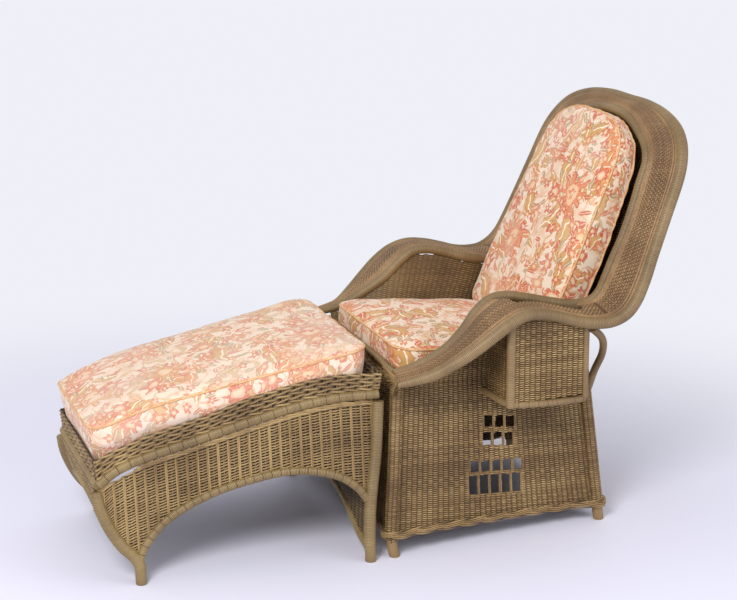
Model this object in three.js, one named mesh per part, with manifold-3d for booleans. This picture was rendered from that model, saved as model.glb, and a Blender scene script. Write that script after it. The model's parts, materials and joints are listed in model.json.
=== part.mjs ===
// Woven wicker lounge armchair with a fixed raked back, a magazine pocket under one arm,
// and a separate ottoman that butts against its front. Millimetres, +Z up, the front faces -Y.
import * as THREE from 'three';
import { mergeVertices } from 'three/addons/utils/BufferGeometryUtils.js';
import Module from 'manifold-3d';

const wasm = await Module();
wasm.setup();
const Solid = wasm.Manifold;

// Chair, overall sizes
const chairHalfWidth = 284; // centre line to the middle of a front foot
const chairDepth = 533; // front foot to rear foot
const chairHeight = 970; // floor to the top of the rim
const chairTaper = 34; // how much narrower each side is at the rear feet
const chairLean = 106; // how far a side would lean in over the whole height
const frontLean = 78; // how far the front would lean back over the whole height
const rearLean = 87; // how far the rear would lean forward over the whole height
const frontToe = 8; // the front plane meets the floor this far ahead of the feet
const backRake = 0.754 * chairDepth; // how far the back would lean over the whole height
const backPlaneShift = 0.5685 * chairDepth; // where the back's plane would meet the floor

// Chair, frame and weave
const gap = 0.5; // clearance between pieces that touch
const smoothing = 0.1; // how far a cut surface may stray when its facets are merged
const weaveThickness = 9;
const bandThickness = 8;
const postRadius = 15;
const pegRadius = 12.5;
const pegHeight = 32;
const chairPegShare = 0.27; // share of a leg's path that is bare peg
const ottomanPegShare = 0.2;
const pegBlend = 0.03; // share of its path over which the peg widens to the wrapped leg
const railRadius = 10;
const outerRollRadius = 14;
const innerRollRadius = 12.5;
const frontRimRadius = 7;
const braidCentre = 46; // height of the middle of the plaited border
const braidHalfHeight = 10;
const braidHalfWidth = 7;
const seamHeight = 0.4 * chairHeight; // where the side panels end and the arm panels begin
const frontPanelTop = seamHeight + 10;
const rearPostTop = seamHeight + 54;
const bandCrown = 13; // how far the woven bands bulge between their rolls
const deckFront = seamHeight - 8; // top of the seat deck at the front
const deckDrop = 44; // how much lower the deck is at the rear
const deckThickness = 8;

// Windows in the side panels
const windowWide = 17;
const windowPitch = 26;
const upperWindowFrom = 0.443 * chairDepth; // behind the front feet
const upperWindowCount = 3;
const upperWindowRows = [[289, 25], [248, 29]]; // each row's top and height
const lowerWindowFrom = 0.377 * chairDepth;
const lowerWindowCount = 5;
const lowerWindowRows = [[188, 25], [151, 40]];
const windowDrop = 12; // how much lower a row is at its rear end

// Pocket under the left arm of the person in the chair
const pocketOuter = 357; // centre line to the outer face
const pocketFront = 0.467 * chairDepth;
const pocketRear = 0.82 * chairDepth;
const pocketFloor = seamHeight - 36;
const pocketPostRadius = 11;
const pocketRearPostRadius = 8;
const pocketRailRadius = 8;
const pocketTurn = 8; // how much the outer face turns in at its rear
const mouthShare = 0.58; // share of the arm's width that the pocket's mouth takes
const railBend = 0.9; // share of the pocket's depth at which its rail starts to turn the corner

// Back braces
const braceRadius = 9;

// Ottoman
const ottomanHalfWidth = 290; // centre line to the middle of a foot at the chair end
const ottomanLength = 512; // foot to foot
const ottomanHeight = 428; // floor to the gallery's top at the chair end
const ottomanGap = 61; // chair's front feet to the ottoman's near feet
const ottomanPostRadius = 14;
const ottomanRailRadius = 11.5;
const archRadius = 10;
const endArchRadius = 9;
const galleryThickness = 8;
const galleryPost = 62; // spacing of the openings in the galleries
const galleryOpening = 26;
const gallerySill = 12; // solid weave above the top rail
const galleryBorder = 10; // solid weave above the openings
const slitDrop = 7; // slit between the top rail and the side panel near the corners

// Cushions
const seatCushionThick = 92;
const backCushionThick = 64;
const backCushionThinShare = 0.45; // how much of its thickness is gone at the top
const cushionCorner = 46; // radius of a corner in plan
const cushionClear = 3;
const seatClear = 8; // room beside the seat cushion
const crownHeight = 13;
const ottomanOverhang = 26; // how far the ottoman's cushion reaches over its far gallery
const sideBulge = 4;

// Finish
const WICKER = new THREE.MeshStandardMaterial({ color: 0x96794c, roughness: 0.55, metalness: 0 });
const WRAP = new THREE.MeshStandardMaterial({ color: 0xa2865a, roughness: 0.5, metalness: 0 });
const FABRIC = new THREE.MeshStandardMaterial({ color: 0xe8c9a8, roughness: 0.9, metalness: 0 });

// Rim from the arm's front to the middle of the back's top, as shares of half width, depth
// and height. Row for row, the outer roll and the inner roll lie across from each other.
const outerRollShares = [
  [1.056, 0.004, 0.425], [1.095, 0.075, 0.433], [1.127, 0.150, 0.445], [1.190, 0.225, 0.471],
  [1.257, 0.300, 0.502], [1.299, 0.375, 0.535], [1.306, 0.450, 0.562], [1.282, 0.525, 0.576],
  [1.264, 0.610, 0.573], [1.261, 0.694, 0.561], [1.271, 0.769, 0.548], [1.296, 0.844, 0.541],
  [1.317, 0.919, 0.543], [1.327, 0.979, 0.558], [1.320, 1.023, 0.584], [1.306, 1.062, 0.625],
  [1.271, 1.114, 0.693], [1.239, 1.174, 0.772], [1.201, 1.240, 0.859], [1.155, 1.266, 0.892],
  [1.060, 1.293, 0.926], [0.926, 1.313, 0.952], [0.662, 1.332, 0.975], [0.327, 1.340, 0.986],
  [0.000, 1.341, 0.986],
];
const innerRollShares = [
  [0.923, 0.011, 0.443], [0.923, 0.084, 0.449], [0.930, 0.169, 0.464], [0.926, 0.253, 0.488],
  [0.884, 0.334, 0.521], [0.852, 0.403, 0.561], [0.845, 0.469, 0.586], [0.831, 0.544, 0.589],
  [0.803, 0.629, 0.578], [0.771, 0.709, 0.565], [0.789, 0.788, 0.555], [0.813, 0.863, 0.549],
  [0.838, 0.934, 0.554], [0.852, 0.976, 0.573], [0.863, 1.006, 0.610], [0.870, 1.036, 0.652],
  [0.884, 1.077, 0.707], [0.870, 1.120, 0.765], [0.835, 1.165, 0.827], [0.796, 1.206, 0.880],
  [0.690, 1.229, 0.911], [0.518, 1.244, 0.936], [0.373, 1.253, 0.952], [0.180, 1.261, 0.962],
  [0.000, 1.263, 0.965],
];
// Rows of the rim where the arm becomes the back, and where the pocket's mouth opens and closes
const backRow = 12;
const mouthOpenRow = 6.1;
const mouthCloseRow = 10.6;
const mouthBlendRows = 0.9;

// Back brace, as shares of half width, depth and height
const braceShares = [
  [1.270, 0.840, 0.526], [1.200, 0.902, 0.494], [1.042, 0.950, 0.443], [0.873, 0.960, 0.382],
  [0.770, 0.962, 0.330],
];

// Ottoman, as shares of its half width, length and height; lengths run from the chair end
const topRailShares = [
  [0.869, -0.068, 0.890], [0.866, -0.031, 0.890], [0.838, 0.098, 0.888], [0.803, 0.268, 0.862],
  [0.762, 0.502, 0.797], [0.724, 0.732, 0.724], [0.683, 0.961, 0.652], [0.666, 1.076, 0.598],
  [0.659, 1.150, 0.533],
];
const archShares = [
  [0.948, -0.002, 0.332], [0.928, 0.037, 0.397], [0.900, 0.111, 0.465], [0.866, 0.240, 0.512],
  [0.838, 0.357, 0.519], [0.810, 0.494, 0.495], [0.786, 0.643, 0.453], [0.769, 0.770, 0.393],
  [0.755, 0.867, 0.327], [0.755, 0.932, 0.257], [0.755, 0.980, 0.178], [0.760, 1.002, 0.112],
];
const nearLegShares = [
  [1.000, -0.002, 0.000], [0.997, -0.002, 0.051], [0.983, -0.002, 0.107], [0.969, -0.006, 0.210],
  [0.952, -0.014, 0.315], [0.934, -0.029, 0.444], [0.917, -0.045, 0.572], [0.900, -0.055, 0.701],
  [0.883, -0.064, 0.855],
];
const farLegShares = [
  [0.779, 0.998, 0.000], [0.772, 0.998, 0.056], [0.766, 1.000, 0.098], [0.752, 1.021, 0.145],
  [0.728, 1.070, 0.210], [0.700, 1.121, 0.318], [0.676, 1.152, 0.423], [0.659, 1.162, 0.500],
];
const galleryTopShares = [
  [0.862, -0.086, 1.000], [0.810, 0.137, 1.005], [0.748, 0.475, 0.932], [0.717, 0.664, 0.855],
  [0.676, 0.936, 0.771], [0.634, 1.164, 0.664],
];
const ottomanDeckShares = [
  [0.862, -0.061, 0.872], [0.828, 0.098, 0.868], [0.800, 0.268, 0.850], [0.762, 0.502, 0.790],
  [0.724, 0.732, 0.722], [0.686, 0.961, 0.658], [0.662, 1.141, 0.583],
];
const ottomanWeltShares = [
  [0.803, -0.061, 1.126], [0.800, 0.010, 1.118], [0.776, 0.270, 1.063], [0.734, 0.662, 0.981],
  [0.707, 0.920, 0.923], [0.669, 1.139, 0.836],
];
// End arches: share of the half width across, share of the height up
const endArchShares = [
  [0.000, 0.238], [0.220, 0.226], [0.430, 0.190], [0.630, 0.130], [0.800, 0.086], [0.925, 0.066],
];
const farArchShares = [
  [0.000, 0.405], [0.220, 0.392], [0.430, 0.345], [0.590, 0.262], [0.700, 0.180], [0.755, 0.140],
];

// Cushion outlines
const backCushionHalfWidth = 214;
const backCushionCentre = 540; // front face at the reference height
const backCushionReference = 750;
const backCushionRake = 25; // degrees
// Half width of the back cushion, as shares of its greatest, from the bottom up along its face,
// as shares of its length
const backCushionLength = 543;
const backCushionAnchor = 0.625; // share of its length at the reference height
const backCushionShares = [
  [0.815, 0.000], [0.895, 0.012], [0.925, 0.040], [0.935, 0.100], [0.945, 0.340], [0.950, 0.470],
  [0.945, 0.640], [0.925, 0.760], [0.885, 0.850], [0.790, 0.915], [0.640, 0.957], [0.440, 0.985],
  [0.220, 0.998], [0.000, 1.000],
];

// Faces around a tube and steps along one
const tubeSides = 8;
const poleSides = 8;
const rimSteps = 52;
const railSteps = 12;
const cornerSteps = 4;
const sideSteps = 6;
const endSteps = 5;
const endShare = 0.72;

const { Vector3 } = THREE;
const chairPoint = ([x, y, z]) => new Vector3(x * chairHalfWidth, y * chairDepth, z * chairHeight);
const ottomanPoint = ([x, y, z]) => new Vector3(
  x * ottomanHalfWidth, -ottomanGap - y * ottomanLength, z * ottomanHeight);
const flip = (p) => new Vector3(-p.x, p.y, p.z);
const smooth = (points) => new THREE.CatmullRomCurve3(points, false, 'centripetal');
const mix = (a, b, t) => a + (b - a) * t;
const mirrored = (points, hand) => (hand < 0 ? points.map(flip) : points.slice());

// Planes of the chair's base: half width of a side, and the front and rear at a height
const sideX = (y, z) => chairHalfWidth - chairTaper * y / chairDepth - chairLean * z / chairHeight;
const frontY = (z) => frontLean * z / chairHeight - frontToe;
const rearY = (z) => chairDepth - rearLean * z / chairHeight;
const backY = (z) => backPlaneShift + backRake * z / chairHeight;
const backTilt = Math.atan2(backRake, chairHeight);

function toSolid(geometry) {
  geometry.deleteAttribute('normal');
  geometry.deleteAttribute('uv');
  const merged = mergeVertices(geometry);
  return new Solid(new wasm.Mesh({
    numProp: 3,
    vertProperties: Float32Array.from(merged.attributes.position.array),
    triVerts: Uint32Array.from(merged.index.array),
  }));
}

function toGeometry(solid) {
  const mesh = solid.getMesh();
  const geometry = new THREE.BufferGeometry();
  geometry.setAttribute('position', new THREE.BufferAttribute(Float32Array.from(mesh.vertProperties), 3));
  geometry.setIndex(new THREE.BufferAttribute(Uint32Array.from(mesh.triVerts), 1));
  geometry.computeVertexNormals();
  return geometry;
}

// A closed solid over rings of points; the rings may be closed by caps or by each other.
function loft(rings, closed = false) {
  const round = rings[0].length;
  const positions = [];
  const index = [];
  rings.forEach((ring) => ring.forEach((p) => positions.push(p.x, p.y, p.z)));
  const bands = closed ? rings.length : rings.length - 1;
  for (let i = 0; i < bands; i += 1) {
    const next = ((i + 1) % rings.length) * round;
    for (let j = 0; j < round; j += 1) {
      const a = i * round + j;
      const b = i * round + ((j + 1) % round);
      const c = next + ((j + 1) % round);
      const d = next + j;
      index.push(a, b, c, a, c, d);
    }
  }
  if (!closed) {
    [0, rings.length - 1].forEach((i) => {
      const centre = new Vector3();
      rings[i].forEach((p) => centre.addScaledVector(p, 1 / round));
      const k = positions.length / 3;
      positions.push(centre.x, centre.y, centre.z);
      for (let j = 0; j < round; j += 1) {
        const a = i * round + j;
        const b = i * round + ((j + 1) % round);
        if (i === 0) index.push(b, a, k);
        else index.push(a, b, k);
      }
    });
  }
  const geometry = new THREE.BufferGeometry();
  geometry.setAttribute('position', new THREE.Float32BufferAttribute(positions, 3));
  geometry.setIndex(index);
  const solid = toSolid(geometry);
  return solid.volume() < 0 ? toSolid(insideOut(geometry)) : solid;
}

function insideOut(geometry) {
  const turned = geometry.clone();
  const old = Array.from(geometry.index.array);
  for (let i = 0; i < old.length; i += 3) {
    [old[i + 1], old[i + 2]] = [old[i + 2], old[i + 1]];
  }
  turned.setIndex(old);
  return turned;
}

// A round pole along a smooth path. A grown one is fatter and longer by `grow` all round.
function pole(points, radius, grow, steps, sides = poleSides) {
  const path = points.map((p) => p.clone());
  const last = path.length - 1;
  path[0].addScaledVector(path[0].clone().sub(path[1]).normalize(), grow);
  path[last].addScaledVector(path[last].clone().sub(path[last - 1]).normalize(), grow);
  const section = new THREE.Shape();
  for (let i = 0; i < sides; i += 1) {
    const angle = 2 * Math.PI * (i + 1 / 2) / sides;
    const [a, b] = [(radius + grow) * Math.cos(angle), (radius + grow) * Math.sin(angle)];
    if (i === 0) section.moveTo(a, b);
    else section.lineTo(a, b);
  }
  section.closePath();
  const geometry = new THREE.ExtrudeGeometry(section, {
    steps, extrudePath: smooth(path), bevelEnabled: false,
  });
  const solid = toSolid(geometry);
  return solid.volume() < 0 ? toSolid(insideOut(mergeVertices(geometry))) : solid;
}

// A leg: level rings along a path, with a slimmer peg below the woven work.
function leg(points, radius, peg, grow) {
  const path = smooth(points);
  const steps = 10;
  const foot = path.getPoint(0).setZ(grow > 0 ? -grow : 0);
  const wrapStart = path.getPoint(peg.at + peg.blend);
  const rings = [[foot, peg.radius], [path.getPoint(peg.at), peg.radius], [wrapStart, radius]];
  for (let i = 1; i <= steps; i += 1) {
    const p = path.getPoint(i / steps);
    if (p.z > wrapStart.z + radius) rings.push([p, radius]);
  }
  return loft(rings.map(([p, r]) => Array.from({ length: tubeSides }, (_, j) => {
    const angle = 2 * Math.PI * j / tubeSides;
    return new Vector3(p.x + (r + grow) * Math.cos(angle), p.y + (r + grow) * Math.sin(angle), p.z);
  })));
}

// A woven sheet: a grid of points thickened on both sides of its middle surface. A grown one is
// thicker and wider by `grow` on every side.
function sheet(at, across, along, thickness, grow) {
  const step = 1e-3;
  const front = [];
  const back = [];
  for (let i = 0; i <= along; i += 1) {
    for (let j = 0; j <= across; j += 1) {
      const u = i / along;
      const v = j / across;
      const p = at(u, v);
      const du = at(Math.min(u + step, 1), v).sub(at(Math.max(u - step, 0), v));
      const dv = at(u, Math.min(v + step, 1)).sub(at(u, Math.max(v - step, 0)));
      const normal = du.clone().cross(dv).normalize().multiplyScalar(thickness / 2 + grow);
      if (i === 0) p.addScaledVector(du.normalize(), -grow);
      if (i === along) p.addScaledVector(du.normalize(), grow);
      if (j === 0) p.addScaledVector(dv.normalize(), -grow);
      if (j === across) p.addScaledVector(dv.normalize(), grow);
      front.push(p.clone().add(normal));
      back.push(p.clone().sub(normal));
    }
  }
  const points = front.concat(back);
  const half = front.length;
  const index = [];
  const id = (i, j) => i * (across + 1) + j;
  const quad = (a, b, c, d) => index.push(a, b, c, a, c, d);
  for (let i = 0; i < along; i += 1) {
    for (let j = 0; j < across; j += 1) {
      quad(id(i, j), id(i + 1, j), id(i + 1, j + 1), id(i, j + 1));
      quad(half + id(i, j), half + id(i, j + 1), half + id(i + 1, j + 1), half + id(i + 1, j));
    }
    quad(id(i, 0), half + id(i, 0), half + id(i + 1, 0), id(i + 1, 0));
    quad(id(i, across), id(i + 1, across), half + id(i + 1, across), half + id(i, across));
  }
  for (let j = 0; j < across; j += 1) {
    quad(id(0, j), id(0, j + 1), half + id(0, j + 1), half + id(0, j));
    quad(id(along, j), half + id(along, j), half + id(along, j + 1), id(along, j + 1));
  }
  const geometry = new THREE.BufferGeometry();
  const flat = points.flatMap((p) => [p.x, p.y, p.z]);
  geometry.setAttribute('position', new THREE.Float32BufferAttribute(flat, 3));
  geometry.setIndex(index);
  const solid = toSolid(geometry);
  return solid.volume() < 0 ? toSolid(insideOut(geometry)) : solid;
}

// A surface between four edges: bottom and top run along u, left and right along v.
function patch(bottom, top, left, right) {
  return (u, v) => {
    const p = bottom(u).multiplyScalar(1 - v).add(top(u).multiplyScalar(v));
    p.add(left(v).multiplyScalar(1 - u)).add(right(v).multiplyScalar(u));
    p.addScaledVector(bottom(0), -(1 - u) * (1 - v)).addScaledVector(bottom(1), -u * (1 - v));
    return p.addScaledVector(top(0), -(1 - u) * v).addScaledVector(top(1), -u * v);
  };
}

const line = (a, b) => (t) => a.clone().lerp(b, t);
const along = (points) => {
  const curve = smooth(points);
  return (t) => curve.getPointAt(t);
};

// A flat plate from an outline, laid with its first axis along `right` and its second along
// `up`, half its thickness to each side. Each hole is cut right through.
function plate(outline, holes, origin, right, up, thickness, grow) {
  const shape = new THREE.Shape(outline.map(([a, b]) => new THREE.Vector2(a, b)));
  const geometry = new THREE.ExtrudeGeometry(shape, {
    depth: thickness, bevelEnabled: grow > 0, bevelSize: grow, bevelThickness: grow, bevelSegments: 1,
  });
  geometry.translate(0, 0, -thickness / 2);
  const normal = right.clone().cross(up).normalize();
  geometry.applyMatrix4(new THREE.Matrix4().makeBasis(right, up, normal).setPosition(origin));
  const turned = toSolid(geometry);
  const solid = turned.volume() < 0 ? toSolid(insideOut(mergeVertices(geometry))) : turned;
  return holes.reduce(
    (rest, hole) => rest.subtract(plate(hole, [], origin, right, up, 2 * thickness, 0)), solid);
}

const largest = (solid) => solid.decompose().sort((a, b) => b.volume() - a.volume())[0];

// Pieces: each is a function of how much it is grown, so that a neighbour can be cut clear of it.
const pieces = new Map();
const built = new Map();
function piece(name, material, make, cutBy = []) {
  pieces.set(name, { material, make, cutBy });
}
function solidOf(name) {
  if (!built.has(name)) {
    const { make, cutBy } = pieces.get(name);
    let cut = make(0).simplify(smoothing);
    cutBy.forEach((other) => {
      cut = cut.subtract(pieces.get(other).make(gap));
    });
    built.set(name, largest(cut.simplify(smoothing)));
  }
  return built.get(name);
}

const HANDS = [['right', -1], ['left', 1]];

// Chair posts
const postPath = (hand, rear) => {
  const top = rear ? rearPostTop : frontPanelTop;
  const edge = rear ? rearY : frontY;
  const foot = rear ? chairDepth : 0;
  return [0, pegHeight / top, 1 / 2, 1].map((t) => {
    const z = t * top;
    const y = t === 0 ? foot : edge(z);
    return new Vector3(hand * sideX(y, z), y, z);
  });
};
HANDS.forEach(([hand, sign]) => {
  const peg = { radius: pegRadius, at: chairPegShare, blend: pegBlend };
  piece(`front_leg_${hand}`, WRAP, (grow) => leg(postPath(sign, false), postRadius, peg, grow));
  piece(`rear_leg_${hand}`, WRAP, (grow) => leg(postPath(sign, true), postRadius, peg, grow), ['back_panel']);
});
const POSTS = ['front_leg_right', 'front_leg_left', 'rear_leg_right', 'rear_leg_left'];

// Plaited border round the foot of the woven walls
const braidCorner = postRadius + gap + braidHalfWidth;
const braidOffset = weaveThickness / 2 + gap + braidHalfWidth;
function braidPath() {
  const z = braidCentre;
  const front = frontY(z);
  const rear = rearY(z);
  const corners = [
    [-sideX(front, z), front, 1, 1], [sideX(front, z), front, -1, 1],
    [sideX(rear, z), rear, -1, -1], [-sideX(rear, z), rear, 1, -1],
  ];
  const points = [];
  corners.forEach(([x, y, inX, inY], k) => {
    const reach = 3 * postRadius;
    const diagonal = braidCorner * Math.SQRT1_2;
    const sideFirst = [
      [x - inX * braidOffset, y + inY * reach], [x - inX * braidCorner, y + inY * postRadius / 3],
      [x - inX * diagonal, y - inY * diagonal],
      [x + inX * postRadius / 3, y - inY * braidCorner], [x + inX * reach, y - inY * braidOffset],
    ];
    const run = k % 2 === 0 ? sideFirst : sideFirst.reverse();
    run.forEach(([a, b]) => points.push(new Vector3(a, b, z)));
  });
  return points;
}
piece('bottom_braid', WICKER, (grow) => {
  const curve = new THREE.CatmullRomCurve3(braidPath(), true, 'centripetal');
  const steps = 32;
  const sides = 6;
  const rings = Array.from({ length: steps }, (_, i) => {
    const p = curve.getPoint(i / steps);
    const out = curve.getTangent(i / steps).cross(new Vector3(0, 0, 1)).normalize();
    return Array.from({ length: sides }, (__, j) => {
      const angle = 2 * Math.PI * (j + 1 / 2) / sides;
      const q = p.clone().addScaledVector(out, (braidHalfWidth + grow) * Math.cos(angle));
      return q.setZ(p.z + (braidHalfHeight + grow) * Math.sin(angle));
    });
  });
  return loft(rings, true);
}, [...POSTS, 'side_panel_left', 'side_panel_right', 'front_panel', 'rear_panel']);

// Rim: two wrapped rolls that run from one arm over the back to the other
const rowOf = (table) => {
  const curve = smooth(table.map(chairPoint));
  return (row) => curve.getPoint(THREE.MathUtils.clamp(row / (table.length - 1), 0, 1));
};
const outerRow = rowOf(outerRollShares);
const innerRow = rowOf(innerRollShares);
const rimPath = (table) => {
  const half = table.map(chairPoint);
  return half.concat(half.slice(0, -1).reverse().map(flip));
};
piece('rim_outer_roll', WRAP, (grow) => pole(rimPath(outerRollShares), outerRollRadius, grow, rimSteps));
piece('rim_inner_roll', WRAP, (grow) => pole(rimPath(innerRollShares), innerRollRadius, grow, rimSteps));
const ROLLS = ['rim_outer_roll', 'rim_inner_roll'];
piece('front_rim', WRAP, (grow) => pole(
  [flip(innerRow(0)), new Vector3(0, frontY(frontPanelTop) - frontRimRadius, innerRow(0).z), innerRow(0)],
  frontRimRadius, grow, 12), ['rim_inner_roll']);

// Woven bands between the rolls
const bandAt = (sign) => (row, v) => {
  const a = innerRow(row);
  const b = outerRow(row);
  const ahead = innerRow(row + 1 / 10).sub(innerRow(row - 1 / 10));
  const up = ahead.cross(b.clone().sub(a)).normalize();
  if (up.z < 0) up.negate();
  const p = a.lerp(b, v).addScaledVector(up, 4 * bandCrown * v * (1 - v));
  return sign < 0 ? flip(p) : p;
};
const lastRow = outerRollShares.length - 1;
const bandSeam = 0.02; // rows between an arm's band and the back's
function mouthEdge(row) {
  const opens = THREE.MathUtils.smoothstep(row, mouthOpenRow, mouthOpenRow + mouthBlendRows);
  const closes = 1 - THREE.MathUtils.smoothstep(row, mouthCloseRow, mouthCloseRow + mouthBlendRows);
  return mouthShare * Math.min(opens, closes);
}
piece('arm_band_right', WICKER, (grow) => sheet(
  (u, v) => bandAt(-1)(mix(bandSeam, backRow - bandSeam, u), v), 2, 14, bandThickness, grow), ROLLS);
piece('arm_band_left', WICKER, (grow) => sheet((u, v) => {
  const row = mix(bandSeam, backRow - bandSeam, u);
  return bandAt(1)(row, mix(mouthEdge(row), 1, v));
}, 3, 26, bandThickness, grow), ROLLS);
piece('back_band', WICKER, (grow) => sheet((u, v) => {
  const row = mix(backRow + bandSeam, 2 * lastRow - backRow - bandSeam, u);
  const sign = row > lastRow ? -1 : 1;
  return bandAt(sign)(Math.min(row, 2 * lastRow - row), v);
}, 2, rimSteps / 2, bandThickness, grow), ROLLS);

// Side panels with their windows
function windowHoles() {
  const holes = [];
  const grid = (from, count, rows) => rows.forEach(([top, tall], row) => {
    for (let i = 0; i < count; i += 1) {
      const y = from + i * windowPitch - row * windowWide / 4;
      const z = top - windowDrop * i / count;
      holes.push([[y, z - tall], [y, z], [y + windowWide, z], [y + windowWide, z - tall]]);
    }
  });
  grid(upperWindowFrom, upperWindowCount, upperWindowRows);
  grid(lowerWindowFrom, lowerWindowCount, lowerWindowRows);
  return holes;
}
HANDS.forEach(([hand, sign]) => {
  const low = pegHeight;
  const slope = chairTaper / chairDepth;
  const lean = chairLean / chairHeight;
  piece(`side_panel_${hand}`, WICKER, (grow) => {
    const outline = [
      [frontY(low), low], [rearY(low), low],
      [rearY(seamHeight), seamHeight], [frontY(seamHeight), seamHeight],
    ];
    const right = new Vector3(-sign * slope, 1, 0);
    const up = new Vector3(-sign * lean, 0, 1);
    const holes = grow > 0 ? [] : windowHoles();
    return plate(outline, holes, new Vector3(sign * sideX(0, 0), 0, 0), right, up, weaveThickness, grow);
  }, POSTS);

  const seam = seamHeight + gap;
  const onSide = (y, z) => new Vector3(sign * sideX(y, z), y, z);
  const top = Array.from({ length: 14 }, (_, i) => {
    const p = innerRow(i * 13.4 / 13);
    return sign < 0 ? flip(p) : p;
  });
  const rearLow = onSide(rearY(seam), seam);
  const frontLow = onSide(frontY(seam), seam);
  const rearMid = onSide(rearY(rearPostTop), rearPostTop);
  piece(`arm_panel_${hand}`, WICKER, (grow) => sheet(
    patch(line(frontLow, rearLow), along(top), line(frontLow, top[0]), along([rearLow, rearMid, top[13]])),
    2, 12, weaveThickness, grow), [...POSTS, ...ROLLS, `arm_band_${hand}`, `side_panel_${hand}`]);
});

// Front and rear panels
piece('front_panel', WICKER, (grow) => sheet((u, v) => {
  const z = mix(pegHeight, frontPanelTop, v);
  return new Vector3(mix(-1, 1, u) * sideX(frontY(z), z), frontY(z), z);
}, 1, 1, weaveThickness, grow), [...POSTS, 'side_panel_left', 'side_panel_right', 'front_rim']);
piece('rear_panel', WICKER, (grow) => sheet((u, v) => {
  const z = mix(pegHeight, rearPostTop, v);
  return new Vector3(mix(-1, 1, u) * sideX(rearY(z), z), rearY(z), z);
}, 1, 1, weaveThickness, grow), [...POSTS, 'side_panel_left', 'side_panel_right', 'back_panel']);

// Open border above the front panel, a row of leaning openings below the rim
const frontBorderOpenings = 15;
piece('front_border', WICKER, (grow) => {
  const z0 = frontPanelTop + gap;
  const z1 = innerRow(0).z;
  const w = sideX(frontY(z0), z0);
  const pitch = 2 * w / frontBorderOpenings;
  const holes = [];
  const margin = pitch / 6;
  const from = z0 + margin;
  const to = z1 - frontRimRadius - margin;
  for (let i = 0; i < frontBorderOpenings && grow === 0; i += 1) {
    const x = -w + i * pitch;
    holes.push([[x + margin, from], [x + pitch / 2, to], [x + pitch - margin, from]]);
  }
  return plate([[-w, z0], [w, z0], [w, z1], [-w, z1]], holes, new Vector3(0, frontY(z0), 0),
    new Vector3(1, 0, 0), new Vector3(0, 0, 1), weaveThickness, grow);
}, [...POSTS, 'front_rim', 'front_panel', 'arm_panel_left', 'arm_panel_right', 'rim_inner_roll']);

// Seat deck and the rails below it
const deckZ = (y) => deckFront - deckThickness / 2 - deckDrop * y / chairDepth;
const deckRear = 0.86; // share of the depth at which the deck meets the back
const deckEnd = deckRear * chairDepth;
piece('seat_deck', WICKER, (grow) => sheet((u, v) => {
  const y = mix(frontY(deckFront), deckEnd, v);
  return new Vector3(mix(-1, 1, u) * sideX(y, deckZ(y)), y, deckZ(y));
}, 3, 1, deckThickness, grow),
[...POSTS, 'side_panel_left', 'side_panel_right', 'front_panel', 'rear_panel', 'back_panel']);
const railZ = (y) => deckZ(y) - deckThickness / 2 - gap - railRadius;
const inFront = weaveThickness / 2 + gap + railRadius;
HANDS.forEach(([hand, sign]) => {
  const ends = [frontY(deckFront) + inFront, deckEnd].map((y) => new Vector3(
    sign * (sideX(y, railZ(y)) - inFront - gap), y, railZ(y)));
  piece(`seat_rail_${hand}`, WRAP, (grow) => pole(ends, railRadius, grow, 1),
    [...POSTS, 'seat_rail_front', 'seat_rail_rear', `side_panel_${hand}`]);
});
[['front', frontY(deckFront) + inFront], ['rear', deckEnd - railRadius]].forEach(([name, y]) => {
  const z = railZ(y);
  piece(`seat_rail_${name}`, WRAP, (grow) => pole(
    [new Vector3(-sideX(y, z), y, z), new Vector3(sideX(y, z), y, z)], railRadius, grow, 1),
  [...POSTS, 'side_panel_left', 'side_panel_right', 'front_panel', 'seat_deck', 'back_panel']);
});

// Gussets that close the arms' front ends above the corner posts
HANDS.forEach(([hand, sign]) => {
  const place = (x, y, z) => new Vector3(sign * x, y, z);
  const front = frontY(seamHeight);
  const low = place(sideX(front, seamHeight), front, seamHeight - 2 * innerRollRadius);
  const inner = innerRow(0);
  const outer = outerRow(0);
  piece(`arm_gusset_${hand}`, WICKER, (grow) => sheet(patch(
    line(low, place(outer.x, outer.y + bandThickness, outer.z)),
    line(place(inner.x, inner.y, inner.z), place(outer.x, outer.y, outer.z + postRadius)),
    line(low, place(inner.x, inner.y, inner.z)),
    line(place(outer.x, outer.y + bandThickness, outer.z), place(outer.x, outer.y, outer.z + postRadius))),
  2, 4, bandThickness, grow),
  [...POSTS, ...ROLLS, `arm_band_${hand}`, `arm_panel_${hand}`, `side_panel_${hand}`, 'front_panel',
    'front_border', 'front_rim']);
});

// Back panel: flat and raked, behind the inner roll
const panelBehind = (innerRollRadius + gap + weaveThickness / 2) / Math.cos(backTilt);
piece('back_panel', WICKER, (grow) => {
  const seat = deckFront - deckDrop - deckThickness;
  const shoulders = innerRow(backRow).z;
  const slant = 1 / Math.cos(backTilt);
  const rows = Array.from({ length: 20 }, (_, i) => innerRow(mix(backRow + 1, lastRow, i / 19)));
  const half = [
    [sideX(backY(seat), seat), seat * slant],
    [sideX(backY(seamHeight), seamHeight), seamHeight * slant],
    [innerRow(backRow).x, shoulders * slant],
    ...rows.map((p) => [p.x + innerRollRadius / 2 * Math.min(1, p.x / chairHalfWidth), p.z * slant]),
  ];
  const outline = half.concat(half.slice(0, -1).reverse().map(([x, z]) => [-x, z]));
  return plate(outline, [], new Vector3(0, backPlaneShift + panelBehind, 0), new Vector3(1, 0, 0),
    new Vector3(0, Math.sin(backTilt), Math.cos(backTilt)), weaveThickness, grow);
}, ['side_panel_left', 'side_panel_right', 'arm_panel_left', 'arm_panel_right', 'rim_inner_roll',
  'back_band']);

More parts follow.
